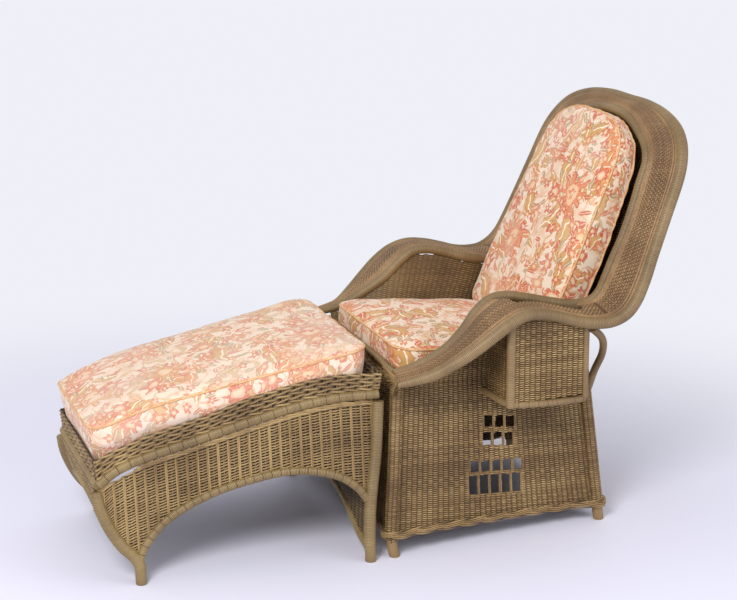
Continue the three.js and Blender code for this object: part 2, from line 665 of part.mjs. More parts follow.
// Braces from the arms' rear down to the rear posts
HANDS.forEach(([hand, sign]) => {
  piece(`back_brace_${hand}`, WRAP, (grow) => pole(
    mirrored(braceShares.map(chairPoint), sign), braceRadius, grow, 14),
  [...POSTS, ...ROLLS, `arm_band_${hand}`, `side_panel_${hand}`, 'rear_panel', 'bottom_braid']);
});

// Pocket for magazines, under the arm at +X
const pocketX = (y) => pocketOuter - pocketTurn * (y - pocketFront) / (pocketRear - pocketFront);
const pocketInner = (y, z) => (z < seamHeight ? sideX(y, z) : sideX(y, seamHeight));
const pocketCorner = (y, z) => new Vector3(pocketX(y), y, z);
const armAbove = (y) => {
  let row = 0;
  while (outerRow(row).y < y) row += 1 / 20;
  return outerRow(row);
};
const POCKET_TOP = ['rim_outer_roll', 'rim_inner_roll', 'arm_band_left'];
const POCKET_SIDE = ['side_panel_left', 'arm_panel_left'];
piece('pocket_front_post', WRAP, (grow) => pole(
  [pocketCorner(pocketFront, pocketFloor), pocketCorner(pocketFront, armAbove(pocketFront).z)],
  pocketPostRadius, grow, 1), [...POCKET_TOP, 'pocket_rail']);
piece('pocket_rear_post', WRAP, (grow) => pole(
  [pocketCorner(pocketRear, pocketFloor), pocketCorner(pocketRear, armAbove(pocketRear).z)],
  pocketRearPostRadius, grow, 1), [...POCKET_TOP, 'pocket_rail', 'back_brace_left']);
const POCKET_FRAME = ['pocket_front_post', 'pocket_rear_post', 'pocket_rail'];
const railFloor = pocketFloor - pocketRailRadius;
const innerFront = pocketInner(pocketFront, pocketFloor);
const innerRear = pocketInner(pocketRear, pocketFloor);
piece('pocket_rail', WRAP, (grow) => pole([
  new Vector3(innerFront, pocketFront - pocketPostRadius, pocketFloor),
  new Vector3(mix(innerFront, pocketOuter, railBend), pocketFront - gap, pocketFloor),
  pocketCorner(pocketFront + pocketPostRadius, pocketFloor),
  pocketCorner(pocketRear - pocketPostRadius, railFloor),
  new Vector3(mix(innerRear, pocketOuter, railBend), pocketRear, railFloor),
  new Vector3(innerRear, pocketRear, railFloor),
], pocketRailRadius, grow, 20), POCKET_SIDE);
piece('pocket_outer_panel', WICKER, (grow) => sheet((u, v) => {
  const y = mix(pocketFront, pocketRear, u);
  return pocketCorner(y, mix(pocketFloor, armAbove(y).z, v));
}, 1, 8, weaveThickness, grow), [...POCKET_TOP, ...POCKET_FRAME]);
[['front', pocketFront], ['rear', pocketRear]].forEach(([name, y]) => {
  const inner = (z) => new Vector3(pocketInner(y, z), y, z);
  const high = armAbove(y).z;
  piece(`pocket_${name}_panel`, WICKER, (grow) => sheet(
    (u, v) => inner(mix(pocketFloor, high, v)).lerp(pocketCorner(y, mix(pocketFloor, high, v)), u),
    6, 1, weaveThickness, grow),
  [...POCKET_TOP, ...POCKET_FRAME, ...POCKET_SIDE, 'pocket_outer_panel', 'back_brace_left']);
});
piece('pocket_floor', WICKER, (grow) => sheet((u, v) => {
  const y = mix(pocketFront, pocketRear, u);
  return new Vector3(mix(pocketInner(y, pocketFloor), pocketX(y), v), y, pocketFloor);
}, 1, 1, weaveThickness, grow),
[...POCKET_FRAME, ...POCKET_SIDE, 'pocket_outer_panel', 'pocket_front_panel', 'pocket_rear_panel']);

// Ottoman legs, rails and arches
const OTTOMAN_LEGS = [];
const OTTOMAN_SIDES = ['right', 'left', 'chair_end', 'far_end'];
const OTTOMAN_RAILS = OTTOMAN_SIDES.map((name) => `ottoman_rail_${name}`);
const OTTOMAN_ARCHES = OTTOMAN_SIDES.map((name) => `ottoman_arch_${name}`);
const topRail = topRailShares.map(ottomanPoint);
HANDS.forEach(([hand, sign]) => {
  const peg = { radius: pegRadius, at: ottomanPegShare, blend: pegBlend };
  [['chair_end', nearLegShares], ['far_end', farLegShares]].forEach(([end, shares]) => {
    OTTOMAN_LEGS.push(`ottoman_leg_${end}_${hand}`);
    piece(`ottoman_leg_${end}_${hand}`, WRAP, (grow) => leg(
      mirrored(shares.map(ottomanPoint), sign), ottomanPostRadius, peg, grow), OTTOMAN_RAILS);
  });
  piece(`ottoman_rail_${hand}`, WRAP, (grow) => pole(
    mirrored(topRail, sign), ottomanRailRadius, grow, railSteps));
  piece(`ottoman_arch_${hand}`, WRAP, (grow) => pole(
    mirrored(archShares.map(ottomanPoint), sign), archRadius, grow, 18), OTTOMAN_LEGS);
});
const endOf = (far) => (far ? topRail[topRail.length - 1] : topRail[1]);
[['chair_end', false], ['far_end', true]].forEach(([name, far]) => {
  const p = endOf(far);
  piece(`ottoman_rail_${name}`, WRAP, (grow) => pole([flip(p), p], ottomanRailRadius, grow, 2),
    ['ottoman_rail_right', 'ottoman_rail_left']);
});

// The plane of each end: where its legs stand at a height
const legAt = (shares) => {
  const points = shares.map(ottomanPoint);
  return (z) => {
    for (let i = 1; i < points.length; i += 1) {
      const [a, b] = [points[i - 1], points[i]];
      if (z <= b.z || i === points.length - 1) return a.clone().lerp(b, (z - a.z) / (b.z - a.z));
    }
    return points[0].clone();
  };
};
const nearLegAt = legAt(nearLegShares);
const farLegAt = legAt(farLegShares);
const endArch = (far) => {
  const table = far ? farArchShares : endArchShares;
  const legPoint = far ? farLegAt : nearLegAt;
  const half = table.map(([x, z]) => {
    const p = legPoint(z * ottomanHeight);
    return new Vector3(x * ottomanHalfWidth, p.y, z * ottomanHeight);
  });
  return half.slice(1).reverse().map(flip).concat(half);
};
[['chair_end', false], ['far_end', true]].forEach(([name, far]) => {
  const points = endArch(far);
  piece(`ottoman_arch_${name}`, WRAP, (grow) => pole(points, endArchRadius, grow, 16),
    [...OTTOMAN_LEGS, 'ottoman_arch_right', 'ottoman_arch_left']);
  const legPoint = far ? farLegAt : nearLegAt;
  const curve = smooth(points);
  piece(`ottoman_panel_${name}`, WICKER, (grow) => sheet((u, v) => {
    const low = curve.getPointAt(u);
    const railZ0 = endOf(far).z;
    const z = mix(low.z, railZ0, v);
    const side = legPoint(z);
    const reach = Math.sign(mix(-1, 1, u)) * Math.abs(low.x) / points[points.length - 1].x;
    return new Vector3(mix(low.x, reach * side.x, v), side.y, z);
  }, 2, 12, weaveThickness, grow), [...OTTOMAN_LEGS, ...OTTOMAN_RAILS, ...OTTOMAN_ARCHES]);
});
HANDS.forEach(([hand, sign]) => {
  const under = topRail.slice(1).map((p, i, all) => {
    const t = i / (all.length - 1);
    const drop = 4 * (t - 1 / 2) ** 2 * slitDrop;
    return p.clone().setZ(p.z - drop);
  }).reverse();
  const arch = archShares.map(ottomanPoint).reverse();
  const place = (p) => (sign < 0 ? flip(p) : p);
  const left = along(
    [arch[0], farLegAt(ottomanHeight / 4), farLegAt(ottomanHeight / 3), under[0]].map(place));
  const last = arch.length - 1;
  const right = along([arch[last], nearLegAt(ottomanHeight / 2), nearLegAt(ottomanHeight * 3 / 4),
    under[under.length - 1]].map(place));
  piece(`ottoman_panel_${hand}`, WICKER, (grow) => sheet(
    patch(along(arch.map(place)), along(under.map(place)), left, right), 2, 12, weaveThickness, grow),
  [...OTTOMAN_LEGS, ...OTTOMAN_RAILS, ...OTTOMAN_ARCHES, 'ottoman_panel_chair_end', 'ottoman_panel_far_end']);
});

// Galleries: openwork that stands on the top rails and holds the cushion
const galleryCurve = smooth(galleryTopShares.map(ottomanPoint));
const railCurve = smooth(topRail);
function openings(length, tall) {
  const count = Math.round(length / galleryPost);
  const high = 1 - galleryBorder / tall;
  const low = gallerySill / tall;
  const wide = galleryOpening / length;
  return Array.from({ length: count }, (_, i) => [(i + 1 / 2) / count, low, high, wide]);
}
function gallery(at, length, tall, grow) {
  let solid = sheet(at, 1, railSteps, galleryThickness, grow);
  if (grow > 0) return solid;
  openings(length, tall).forEach(([u, low, high, wide]) => {
    const across = (a, b) => at(u + (a - 1 / 2) * wide, mix(low, high, b));
    solid = solid.subtract(sheet(across, 1, 1, 4 * galleryThickness, 0));
  });
  return solid;
}
const aboveRail = ottomanRailRadius * Math.cos(Math.PI / poleSides) + 3 * gap / 2;
const galleryTall = ottomanHeight - topRail[0].z - aboveRail;
HANDS.forEach(([hand, sign]) => {
  const at = (u, v) => {
    const p = railCurve.getPointAt(u);
    const top = galleryCurve.getPointAt(u);
    p.lerp(top, mix(aboveRail / p.distanceTo(top), 1, v));
    return sign < 0 ? flip(p) : p;
  };
  piece(`ottoman_gallery_${hand}`, WICKER, (grow) => gallery(at, railCurve.getLength(), galleryTall, grow),
    [...OTTOMAN_RAILS, 'ottoman_gallery_chair_end', 'ottoman_gallery_far_end']);
});
[['chair_end', 0], ['far_end', 1]].forEach(([name, t]) => {
  const high = galleryCurve.getPoint(t);
  const low = endOf(t === 1).clone();
  low.lerp(high, aboveRail / low.distanceTo(high));
  const at = (u, v) => {
    const p = low.clone().lerp(high, v);
    return p.setX(mix(-1, 1, u) * p.x);
  };
  piece(`ottoman_gallery_${name}`, WICKER, (grow) => gallery(at, 2 * low.x, galleryTall, grow),
    OTTOMAN_RAILS);
});
const GALLERIES = OTTOMAN_SIDES.map((name) => `ottoman_gallery_${name}`);
const deckCurve = smooth(ottomanDeckShares.map(ottomanPoint));
piece('ottoman_deck', WICKER, (grow) => sheet((u, v) => {
  const p = deckCurve.getPoint(u);
  return p.setX(mix(-1, 1, v) * p.x);
}, 1, 6, deckThickness, grow),
[...OTTOMAN_RAILS, ...GALLERIES, ...OTTOMAN_LEGS,
  ...OTTOMAN_SIDES.map((name) => `ottoman_panel_${name}`)]);

// A boxed cushion: a rounded outline, a flat base, drawn-in sides and a crowned top. `widthAt`
// gives its half width, and `baseAt` and `topAt` its faces, at a place along its length, and
// `overhang` says how much further its upper half reaches than its lower half.
function cushion({ from, to, overhang = 0, widthAt, baseAt, topAt, crown }, grow) {
  const ring = (inset, level, rise = 0) => {
    const scale = 1 - inset;
    const end = level > 1 / 2 ? to + Math.sign(to - from) * overhang : to;
    const half = Math.abs(end - from) / 2;
    const round = cushionCorner;
    const outline = [];
    const arc = (sideways, lengthways, start) => {
      for (let i = 0; i <= cornerSteps; i += 1) {
        const angle = start + Math.PI * i / cornerSteps / 2;
        outline.push([sideways, round * (Math.cos(angle) - sideways), lengthways * (half - round)
          + round * Math.sin(angle)]);
      }
    };
    const run = (sideways, towards) => {
      for (let i = 1; i < sideSteps; i += 1) {
        outline.push([sideways, 0, towards * (half - round) * (2 * i / sideSteps - 1)]);
      }
    };
    const ends = (lengthways, towards) => {
      for (let i = 1; i < endSteps; i += 1) {
        outline.push([towards * (2 * i / endSteps - 1) * endShare, 0, lengthways * half]);
      }
    };
    arc(1, 1, 0);
    ends(1, -1);
    arc(-1, 1, Math.PI / 2);
    run(-1, -1);
    arc(-1, -1, Math.PI);
    ends(-1, 1);
    arc(1, -1, 3 * Math.PI / 2);
    run(1, 1);
    return outline.map(([side, shift, b]) => {
      const y = (from + end) / 2 + b * scale;
      const across = (side * (widthAt(y, level) + grow) + shift) * scale;
      return new Vector3(across, y, mix(baseAt(y) - grow, topAt(y) + grow, level) + rise);
    });
  };
  const draw = sideBulge / widthAt((from + to) / 2, 1);
  return loft([
    ring(2 * draw, 0), ring(0, 0.1), ring(draw, 0.5), ring(0, 0.9), ring(2 * draw, 1),
    ring(0.12, 1, crown * 0.32), ring(0.3, 1, crown * 0.72), ring(0.55, 1, crown * 0.94), ring(0.8, 1, crown),
  ]);
}
const seatFrom = frontY(frontPanelTop) + weaveThickness / 2 + cushionClear;
const seatTo = deckEnd - 2 * postRadius;
piece('seat_cushion', FABRIC, (grow) => cushion({
  from: seatFrom,
  to: seatTo,
  widthAt: (y) => sideX(y, seamHeight) - weaveThickness / 2 - seatClear,
  baseAt: (y) => deckZ(y) + deckThickness / 2 + gap,
  topAt: (y) => deckZ(y) + deckThickness / 2 + gap + seatCushionThick,
  crown: crownHeight,
}, grow), [...POSTS, 'arm_panel_left', 'arm_panel_right', 'rim_inner_roll', 'back_panel', 'front_border']);

// Back cushion, in the plane of its raked face: its length runs up the face
const faceTilt = THREE.MathUtils.degToRad(backCushionRake);
const faceUp = new Vector3(0, Math.sin(faceTilt), Math.cos(faceTilt));
const faceOut = new Vector3(0, -Math.cos(faceTilt), Math.sin(faceTilt));
const backFoot = new Vector3(0, backCushionCentre, backCushionReference)
  .addScaledVector(faceUp, -backCushionLength * backCushionAnchor);
function backWidth(length) {
  const t = THREE.MathUtils.clamp(length / backCushionLength, 0, 1);
  for (let i = 1; i < backCushionShares.length; i += 1) {
    const [w0, t0] = backCushionShares[i - 1];
    const [w1, t1] = backCushionShares[i];
    if (t <= t1) return backCushionHalfWidth * mix(w0, w1, (t - t0) / (t1 - t0));
  }
  return 0;
}
piece('back_cushion', FABRIC, () => {
  const outline = backCushionShares.map(([w, t]) => [w * backCushionHalfWidth, t * backCushionLength]);
  const round = outline.concat(outline.slice(0, -1).reverse().map(([a, b]) => [-a, b]));
  const centre = backCushionLength / 2;
  const ring = (inset, depth) => round.map(([a, b]) => {
    const out = backFoot.clone().addScaledVector(faceUp, centre + (b - centre) * (1 - inset));
    const thin = depth < 0 ? 1 - backCushionThinShare * (b / backCushionLength) ** 4 : 1;
    return out.addScaledVector(faceOut, depth * thin).setX(a * (1 - inset));
  });
  const thick = backCushionThick;
  const draw = sideBulge / backCushionHalfWidth;
  return loft([
    ring(2 * draw, -thick), ring(0, -thick * 0.9), ring(draw, -thick / 2), ring(0, -thick * 0.08),
    ring(2 * draw, 0), ring(0.12, crownHeight * 0.32), ring(0.3, crownHeight * 0.72),
    ring(0.55, crownHeight * 0.94),
    ring(0.8, crownHeight),
  ]);
}, ['seat_cushion', 'rim_inner_roll', 'arm_panel_left', 'arm_panel_right', 'back_panel', 'back_band']);

// Ottoman cushion, drawn in where it sits inside the galleries
const weltCurve = smooth(ottomanWeltShares.map(ottomanPoint));
const byLength = (curve) => {
  const points = curve.getPoints(60);
  return (y) => {
    let i = 1;
    while (i < points.length - 1 && points[i].y > y) i += 1;
    const [a, b] = [points[i - 1], points[i]];
    return a.clone().lerp(b, THREE.MathUtils.clamp((y - a.y) / (b.y - a.y), 0, 1));
  };
};
const weltAt = byLength(weltCurve);
const ottomanDeckAt = byLength(deckCurve);
const galleryAt = byLength(galleryCurve);
piece('ottoman_cushion', FABRIC, (grow) => cushion({
  from: galleryAt(endOf(false).y).y + galleryThickness,
  to: endOf(true).y + galleryThickness,
  overhang: ottomanOverhang,
  widthAt: (y, level) => (level > 1 / 2
    ? weltAt(y).x : Math.min(weltAt(y).x, galleryAt(y).x - galleryThickness / 2 - cushionClear)),
  baseAt: (y) => ottomanDeckAt(y).z + deckThickness / 2 + gap,
  topAt: (y) => weltAt(y).z,
  crown: crownHeight,
}, grow), [...GALLERIES, ...OTTOMAN_RAILS, 'ottoman_deck', 'front_border']);

const model = new THREE.Group();
pieces.forEach(({ material }, name) => {
  const mesh = new THREE.Mesh(toGeometry(solidOf(name)), material);
  mesh.name = name;
  model.add(mesh);
});

// Centre the whole set over the origin, standing on the floor.
const box = new THREE.Box3().setFromObject(model);
model.children.forEach((mesh) => {
  mesh.position.set(-(box.min.x + box.max.x) / 2, -(box.min.y + box.max.y) / 2, -box.min.z);
});

export default model;
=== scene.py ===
"""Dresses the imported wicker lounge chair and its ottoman: woven work, wrapped poles, braid,
printed cushions, and a plain studio. Lengths in the tables are millimetres in the chair's own
frame, whose origin lies on the floor midway between the front feet."""
import json
import math

import bpy
import numpy as np
from mathutils import Matrix, Vector, noise as field


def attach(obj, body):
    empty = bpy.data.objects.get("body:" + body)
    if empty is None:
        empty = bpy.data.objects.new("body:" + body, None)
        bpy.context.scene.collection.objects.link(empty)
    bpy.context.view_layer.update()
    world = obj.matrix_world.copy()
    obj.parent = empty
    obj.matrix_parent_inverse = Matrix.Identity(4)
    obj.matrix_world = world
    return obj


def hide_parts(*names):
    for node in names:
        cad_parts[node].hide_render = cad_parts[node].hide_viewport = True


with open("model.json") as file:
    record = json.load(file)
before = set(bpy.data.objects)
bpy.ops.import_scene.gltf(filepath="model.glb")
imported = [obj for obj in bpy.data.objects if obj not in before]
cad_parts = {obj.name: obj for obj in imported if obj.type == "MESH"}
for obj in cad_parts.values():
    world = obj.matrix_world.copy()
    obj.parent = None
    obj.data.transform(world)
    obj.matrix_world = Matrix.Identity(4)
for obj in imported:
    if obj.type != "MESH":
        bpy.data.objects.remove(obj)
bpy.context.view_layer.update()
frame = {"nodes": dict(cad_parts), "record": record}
FEET = {m["name"]: m["pos_m"] for m in frame["record"]["mounts"]}
SHIFT = np.array([0.0, FEET["front_leg_left_foot"][1] * 1000, 0.0])
RNG = np.random.default_rng(7)

# The same sizes as in the part's source
HALF_WIDTH, DEPTH, HEIGHT = 284, 533, 970
TAPER, LEAN, FRONT_LEAN, REAR_LEAN, FRONT_TOE = 34, 106, 78, 87, 8
BACK_RAKE, BACK_SHIFT = 0.754 * DEPTH, 0.5685 * DEPTH
OTTO_HALF, OTTO_LENGTH, OTTO_HEIGHT, OTTO_GAP = 290, 512, 428, 61
OUTER_R, INNER_R, POST_R, PEG_R, PEG_HEIGHT = 14, 12.5, 15, 12.5, 32
SEAM, REAR_POST_TOP, FRONT_TOP, BAND_CROWN = 388, 442, 398, 13

# Points of the poles in thousandths of the width, depth and height, from the front to the back
OUTER_ROLL = [(1056, 4, 425), (1095, 75, 433), (1127, 150, 445), (1190, 225, 471),
              (1257, 300, 502), (1299, 375, 535), (1306, 450, 562), (1282, 525, 576),
              (1264, 610, 573), (1261, 694, 561), (1271, 769, 548), (1296, 844, 541),
              (1317, 919, 543), (1327, 979, 558), (1320, 1023, 584), (1306, 1062, 625),
              (1271, 1114, 693), (1239, 1174, 772), (1201, 1240, 859), (1155, 1266, 892),
              (1060, 1293, 926), (926, 1313, 952), (662, 1332, 975), (327, 1340, 986),
              (0, 1341, 986)]
INNER_ROLL = [(923, 11, 443), (923, 84, 449), (930, 169, 464), (926, 253, 488), (884, 334, 521),
              (852, 403, 561), (845, 469, 586), (831, 544, 589), (803, 629, 578), (771, 709, 565),
              (789, 788, 555), (813, 863, 549), (838, 934, 554), (852, 976, 573), (863, 1006, 610),
              (870, 1036, 652), (884, 1077, 707), (870, 1120, 765), (835, 1165, 827),
              (796, 1206, 880), (690, 1229, 911), (518, 1244, 936), (373, 1253, 952),
              (180, 1261, 962), (0, 1263, 965)]
BACK_ROW, MOUTH_OPEN, MOUTH_CLOSE, MOUTH_BLEND, MOUTH_SHARE = 12, 6.1, 10.6, 0.9, 0.58
BRACE = [(1270, 840, 526), (1200, 902, 494), (1042, 950, 443), (873, 960, 382), (770, 962, 330)]
TOP_RAIL = [(869, -68, 890), (866, -31, 890), (838, 98, 888), (803, 268, 862), (762, 502, 797),
            (724, 732, 724), (683, 961, 652), (666, 1076, 598), (659, 1150, 533)]
ARCH = [(948, -2, 332), (928, 37, 397), (900, 111, 465), (866, 240, 512), (838, 357, 519),
        (810, 494, 495), (786, 643, 453), (769, 770, 393), (755, 867, 327), (755, 932, 257),
        (755, 980, 178), (760, 1002, 112)]
NEAR_LEG = [(1000, -2, 0), (997, -2, 51), (983, -2, 107), (969, -6, 210), (952, -14, 315),
            (934, -29, 444), (917, -45, 572), (900, -55, 701), (883, -64, 855)]
FAR_LEG = [(779, 998, 0), (772, 998, 56), (766, 1000, 98), (752, 1021, 145), (728, 1070, 210),
           (700, 1121, 318), (676, 1152, 423), (659, 1162, 500)]
GALLERY_TOP = [(862, -86, 1000), (810, 137, 1005), (748, 475, 932), (717, 664, 855),
               (676, 936, 771), (634, 1164, 664)]
OTTO_DECK = [(862, -61, 872), (828, 98, 868), (800, 268, 850), (762, 502, 790), (724, 732, 722),
             (686, 961, 658), (662, 1141, 583)]
WELT = [(803, -61, 1126), (800, 10, 1118), (776, 270, 1063), (734, 662, 981), (707, 920, 923),
        (669, 1139, 836)]
END_ARCH = [(0, 238), (220, 226), (430, 190), (630, 130), (800, 86), (925, 66)]
FAR_ARCH = [(0, 405), (220, 392), (430, 345), (590, 262), (700, 180), (755, 140)]
UPPER_WINDOWS = (0.443 * DEPTH + 2, 3, [(291, 27), (252, 31)])
LOWER_WINDOWS = (0.377 * DEPTH - 2, 5, [(188.5, 26), (155, 45)])
WINDOW_WIDE, WINDOW_PITCH, WINDOW_DROP, WINDOW_SHIFT = 21, 27.8, 12, 5
POCKET_OUTER, POCKET_FRONT, POCKET_REAR = 357, 0.467 * DEPTH, 0.82 * DEPTH
POCKET_FLOOR, POCKET_TURN = 352, 8
HANDS = (("left", 1), ("right", -1))
FINE = np.linspace(0, 1, 400)
NUDGE = 0.02  # the step over which slopes are measured
DRIFT, SIZE_SPREAD = 0.004, 0.07  # how far woven rows wander, and how unlike in size they are
LINING_DEPTH, LINING_BEHIND = 1.2, 2.0  # behind the middle of a weave, or behind all of it
FULL_TURN, THREAD = 6.283, 0.0011
ROW_PITCH, STAKE_PITCH = 2.55, 13.3


# ---- curves and surfaces
def chair(table):
    return np.array(table, float) / 1000 * (HALF_WIDTH, DEPTH, HEIGHT)


def otto(table):
    size = np.array((OTTO_HALF, -OTTO_LENGTH, OTTO_HEIGHT))
    return np.array(table, float) / 1000 * size - (0, OTTO_GAP, 0)


def grid(x, y, z):
    """Points from coordinates that broadcast together."""
    return np.stack(np.broadcast_arrays(x, y, z), -1)


def interp(x, xs, table):
    """Each column of a table at x."""
    return np.stack([np.interp(x, xs, column) for column in table.T], -1)


def edge_at(line, y):
    """x and z of a line at y."""
    return [np.interp(y, line[:, 1], line[:, k]) for k in (0, 2)]


def unit(a):
    return a / np.maximum(np.linalg.norm(a, axis=-1, keepdims=True), 1e-12)


def run_of(points):
    """The length along a line at each of its points."""
    return np.concatenate([[0], np.cumsum(np.linalg.norm(np.diff(points, axis=0), axis=1))])


class Curve:
    """A centripetal Catmull-Rom curve through points."""

    def __init__(self, points, closed=False):
        self.p = np.asarray(points, float)
        self.closed = closed
        self.grid = np.linspace(0, 1, 801)
        self.run = run_of(self.point(self.grid))
        self.length = self.run[-1]

    def point(self, t):
        t = np.asarray(t, float)
        p, n = self.p, len(self.p)
        if self.closed:
            f = (t % 1.0) * n
            i = np.floor(f).astype(int)
            w = f - i
            p0, p1, p2, p3 = p[(i - 1) % n], p[i % n], p[(i + 1) % n], p[(i + 2) % n]
        else:
            e = np.vstack([2 * p[0] - p[1], p, 2 * p[-1] - p[-2]])
            f = np.clip(t, 0, 1) * (n - 1)
            i = np.minimum(np.floor(f).astype(int), n - 2)
            w = f - i
            p0, p1, p2, p3 = e[i], e[i + 1], e[i + 2], e[i + 3]
        d = [np.sum((b - a) ** 2, -1) ** 0.25 for a, b in ((p0, p1), (p1, p2), (p2, p3))]
        d0, d1, d2 = [x[..., None] for x in d]
        t1 = ((p1 - p0) / d0 - (p2 - p0) / (d0 + d1) + (p2 - p1) / d1) * d1
        t2 = ((p2 - p1) / d1 - (p3 - p1) / (d1 + d2) + (p3 - p2) / d2) * d1
        w = w[..., None]
        return (p1 + t1 * w + (-3 * p1 + 3 * p2 - 2 * t1 - t2) * w ** 2
                + (2 * p1 - 2 * p2 + t1 + t2) * w ** 3)

    def at(self, u):
        """The point at a share of the curve's length."""
        return self.point(np.interp(np.asarray(u, float) * self.length, self.run, self.grid))


outer_curve, inner_curve = Curve(chair(OUTER_ROLL)), Curve(chair(INNER_ROLL))
LAST_ROW = len(OUTER_ROLL) - 1


def side_x(y, z):
    return HALF_WIDTH - TAPER * y / DEPTH - LEAN * z / HEIGHT


def front_y(z):
    return FRONT_LEAN * z / HEIGHT - FRONT_TOE


def rear_y(z):
    return DEPTH - REAR_LEAN * z / HEIGHT


def back_y(z):
    return BACK_SHIFT + BACK_RAKE * z / HEIGHT


def inner_row(row):
    return inner_curve.point(np.asarray(row, float) / LAST_ROW)


def outer_row(row):
    return outer_curve.point(np.asarray(row, float) / LAST_ROW)


def near_half(row):
    """The same row on the +X half. Rows past the last one lie on the -X half."""
    return np.where(row > LAST_ROW, 2 * LAST_ROW - row, row)


def band(row, v):
    """The band between the rolls, at a share v of the way from the inner to the outer one."""
    row, v = np.broadcast_arrays(np.asarray(row, float), np.asarray(v, float))
    half = near_half(row)
    a, b = inner_row(half), outer_row(half)
    ahead = inner_row(np.minimum(half + 0.1, LAST_ROW)) - inner_row(np.maximum(half - 0.1, 0))
    up = unit(np.cross(ahead, b - a))
    up = np.where(up[..., 2:] < 0, -up, up)
    p = a + (b - a) * v[..., None] + up * (4 * BAND_CROWN * v * (1 - v))[..., None]
    p[..., 0] *= np.where(row > LAST_ROW, -1.0, 1.0)
    return p


def smoothstep(x, a, b):
    t = np.clip((x - a) / (b - a), 0, 1)
    return t * t * (3 - 2 * t)


def mouth_edge(row):
    """The share of the band that the pocket's mouth takes."""
    opens = smoothstep(row, MOUTH_OPEN, MOUTH_OPEN + MOUTH_BLEND)
    closes = 1 - smoothstep(row, MOUTH_CLOSE, MOUTH_CLOSE + MOUTH_BLEND)
    return MOUTH_SHARE * np.minimum(opens, closes)


# ---- mesh building
def show(name, data):
    obj = bpy.data.objects.new(name, data)
    bpy.context.scene.collection.objects.link(obj)
    return obj


def dress(obj, material, body, nodes):
    mesh = obj.data
    mesh.polygons.foreach_set("use_smooth", np.ones(len(mesh.polygons), bool))
    mesh.materials.append(material)
    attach(obj, body)
    if nodes:
        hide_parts(*nodes)


class Piece:
    """Collects quads with a tone and a depth for every vertex, then makes one object. The depth
    sets how much painted shade, with some dirt, the vertex takes.
    """

    def __init__(self):
        self.verts, self.faces, self.tone, self.low, self.count = [], [], [], [], 0

    def add(self, verts, quads, tone, low):
        verts = np.asarray(verts, float).reshape(-1, 3)
        used, index = np.unique(quads, return_inverse=True)
        self.verts.append(verts[used])
        self.faces.append(index.reshape(-1, 4) + self.count)
        for kept, values in ((self.tone, tone), (self.low, low)):
            kept.append(np.broadcast_to(np.reshape(values, -1), len(verts))[used])
        self.count += len(used)

    def make(self, name, material, body, nodes=()):
        v = (np.concatenate(self.verts) + SHIFT) / 1000
        f = np.concatenate(self.faces)
        mesh = bpy.data.meshes.new(name)
        mesh.vertices.add(len(v))
        mesh.vertices.foreach_set("co", v.ravel())
        mesh.loops.add(f.size)
        mesh.loops.foreach_set("vertex_index", f.ravel())
        mesh.polygons.add(len(f))
        mesh.polygons.foreach_set("loop_start", np.arange(len(f)) * 4)
        mesh.update(calc_edges=True)
        mesh.validate()
        for key, data in (("tone", self.tone), ("low", self.low)):
            attribute = mesh.attributes.new(key, "FLOAT", "POINT")
            attribute.data.foreach_set("value", np.concatenate(data).astype(np.float32))
        dress(show(name, mesh), material, body, nodes)


def grid_quads(rows, cols, inside=None, wrap=False):
    """Quads of a rows x cols grid of vertices, where all four lie inside; wrap joins the last
    column to the first."""
    i, j = np.meshgrid(np.arange(rows - 1), np.arange(cols if wrap else cols - 1), indexing="ij")
    k = (j + 1) % cols
    quads = np.stack([i * cols + j, i * cols + k, (i + 1) * cols + k, (i + 1) * cols + j], -1)
    quads = quads.reshape(-1, 4)
    return quads if inside is None else quads[inside.reshape(-1)[quads].all(1)]


def strands(piece, points, normals, half, thick, keep=True, sides=6, tone=0.5, low=1.0):
    """Strands of oval section along points[strand, step], or one along points[step]; half lies
    in the sheet, and thick along its normal."""
    points = points if points.ndim == 3 else points[None]
    rows, cols = points.shape[:2]
    tangent = unit(np.gradient(points, axis=1))
    across = unit(np.cross(tangent, np.broadcast_to(normals, points.shape)))
    normal = np.cross(across, tangent)
    angle = np.arange(sides) * 2 * np.pi / sides + np.pi / sides
    grow = 1.3 if sides == 4 else 1.0  # a square section has to be larger to look as full
    half, thick = (np.broadcast_to(a, (rows, cols))[..., None, None] * grow for a in (half, thick))
    ring = (points[:, :, None] + across[:, :, None] * half * np.cos(angle)[:, None]
            + normal[:, :, None] * thick * np.sin(angle)[:, None])
    keep = np.broadcast_to(keep, (rows, cols))
    joined = np.pad(keep[:, :-1] & keep[:, 1:], ((0, 0), (0, 1))).reshape(-1)[:-1]
    quads = grid_quads(rows * cols, sides, wrap=True).reshape(-1, sides, 4)[joined]
    tone = np.broadcast_to(np.broadcast_to(tone, rows)[:, None, None], (rows, cols, sides))
    low = np.broadcast_to(np.broadcast_to(low, (rows, cols))[..., None], (rows, cols, sides))
    piece.add(ring, quads, tone, low)


def normals_of(at, s, t, outward):
    outward = outward(s, t) if callable(outward) else outward
    n = unit(np.cross(at(s + NUDGE, t) - at(s - NUDGE, t), at(s, t + NUDGE) - at(s, t - NUDGE)))
    return np.where(np.sum(n * outward, -1, keepdims=True) < 0, -n, n)


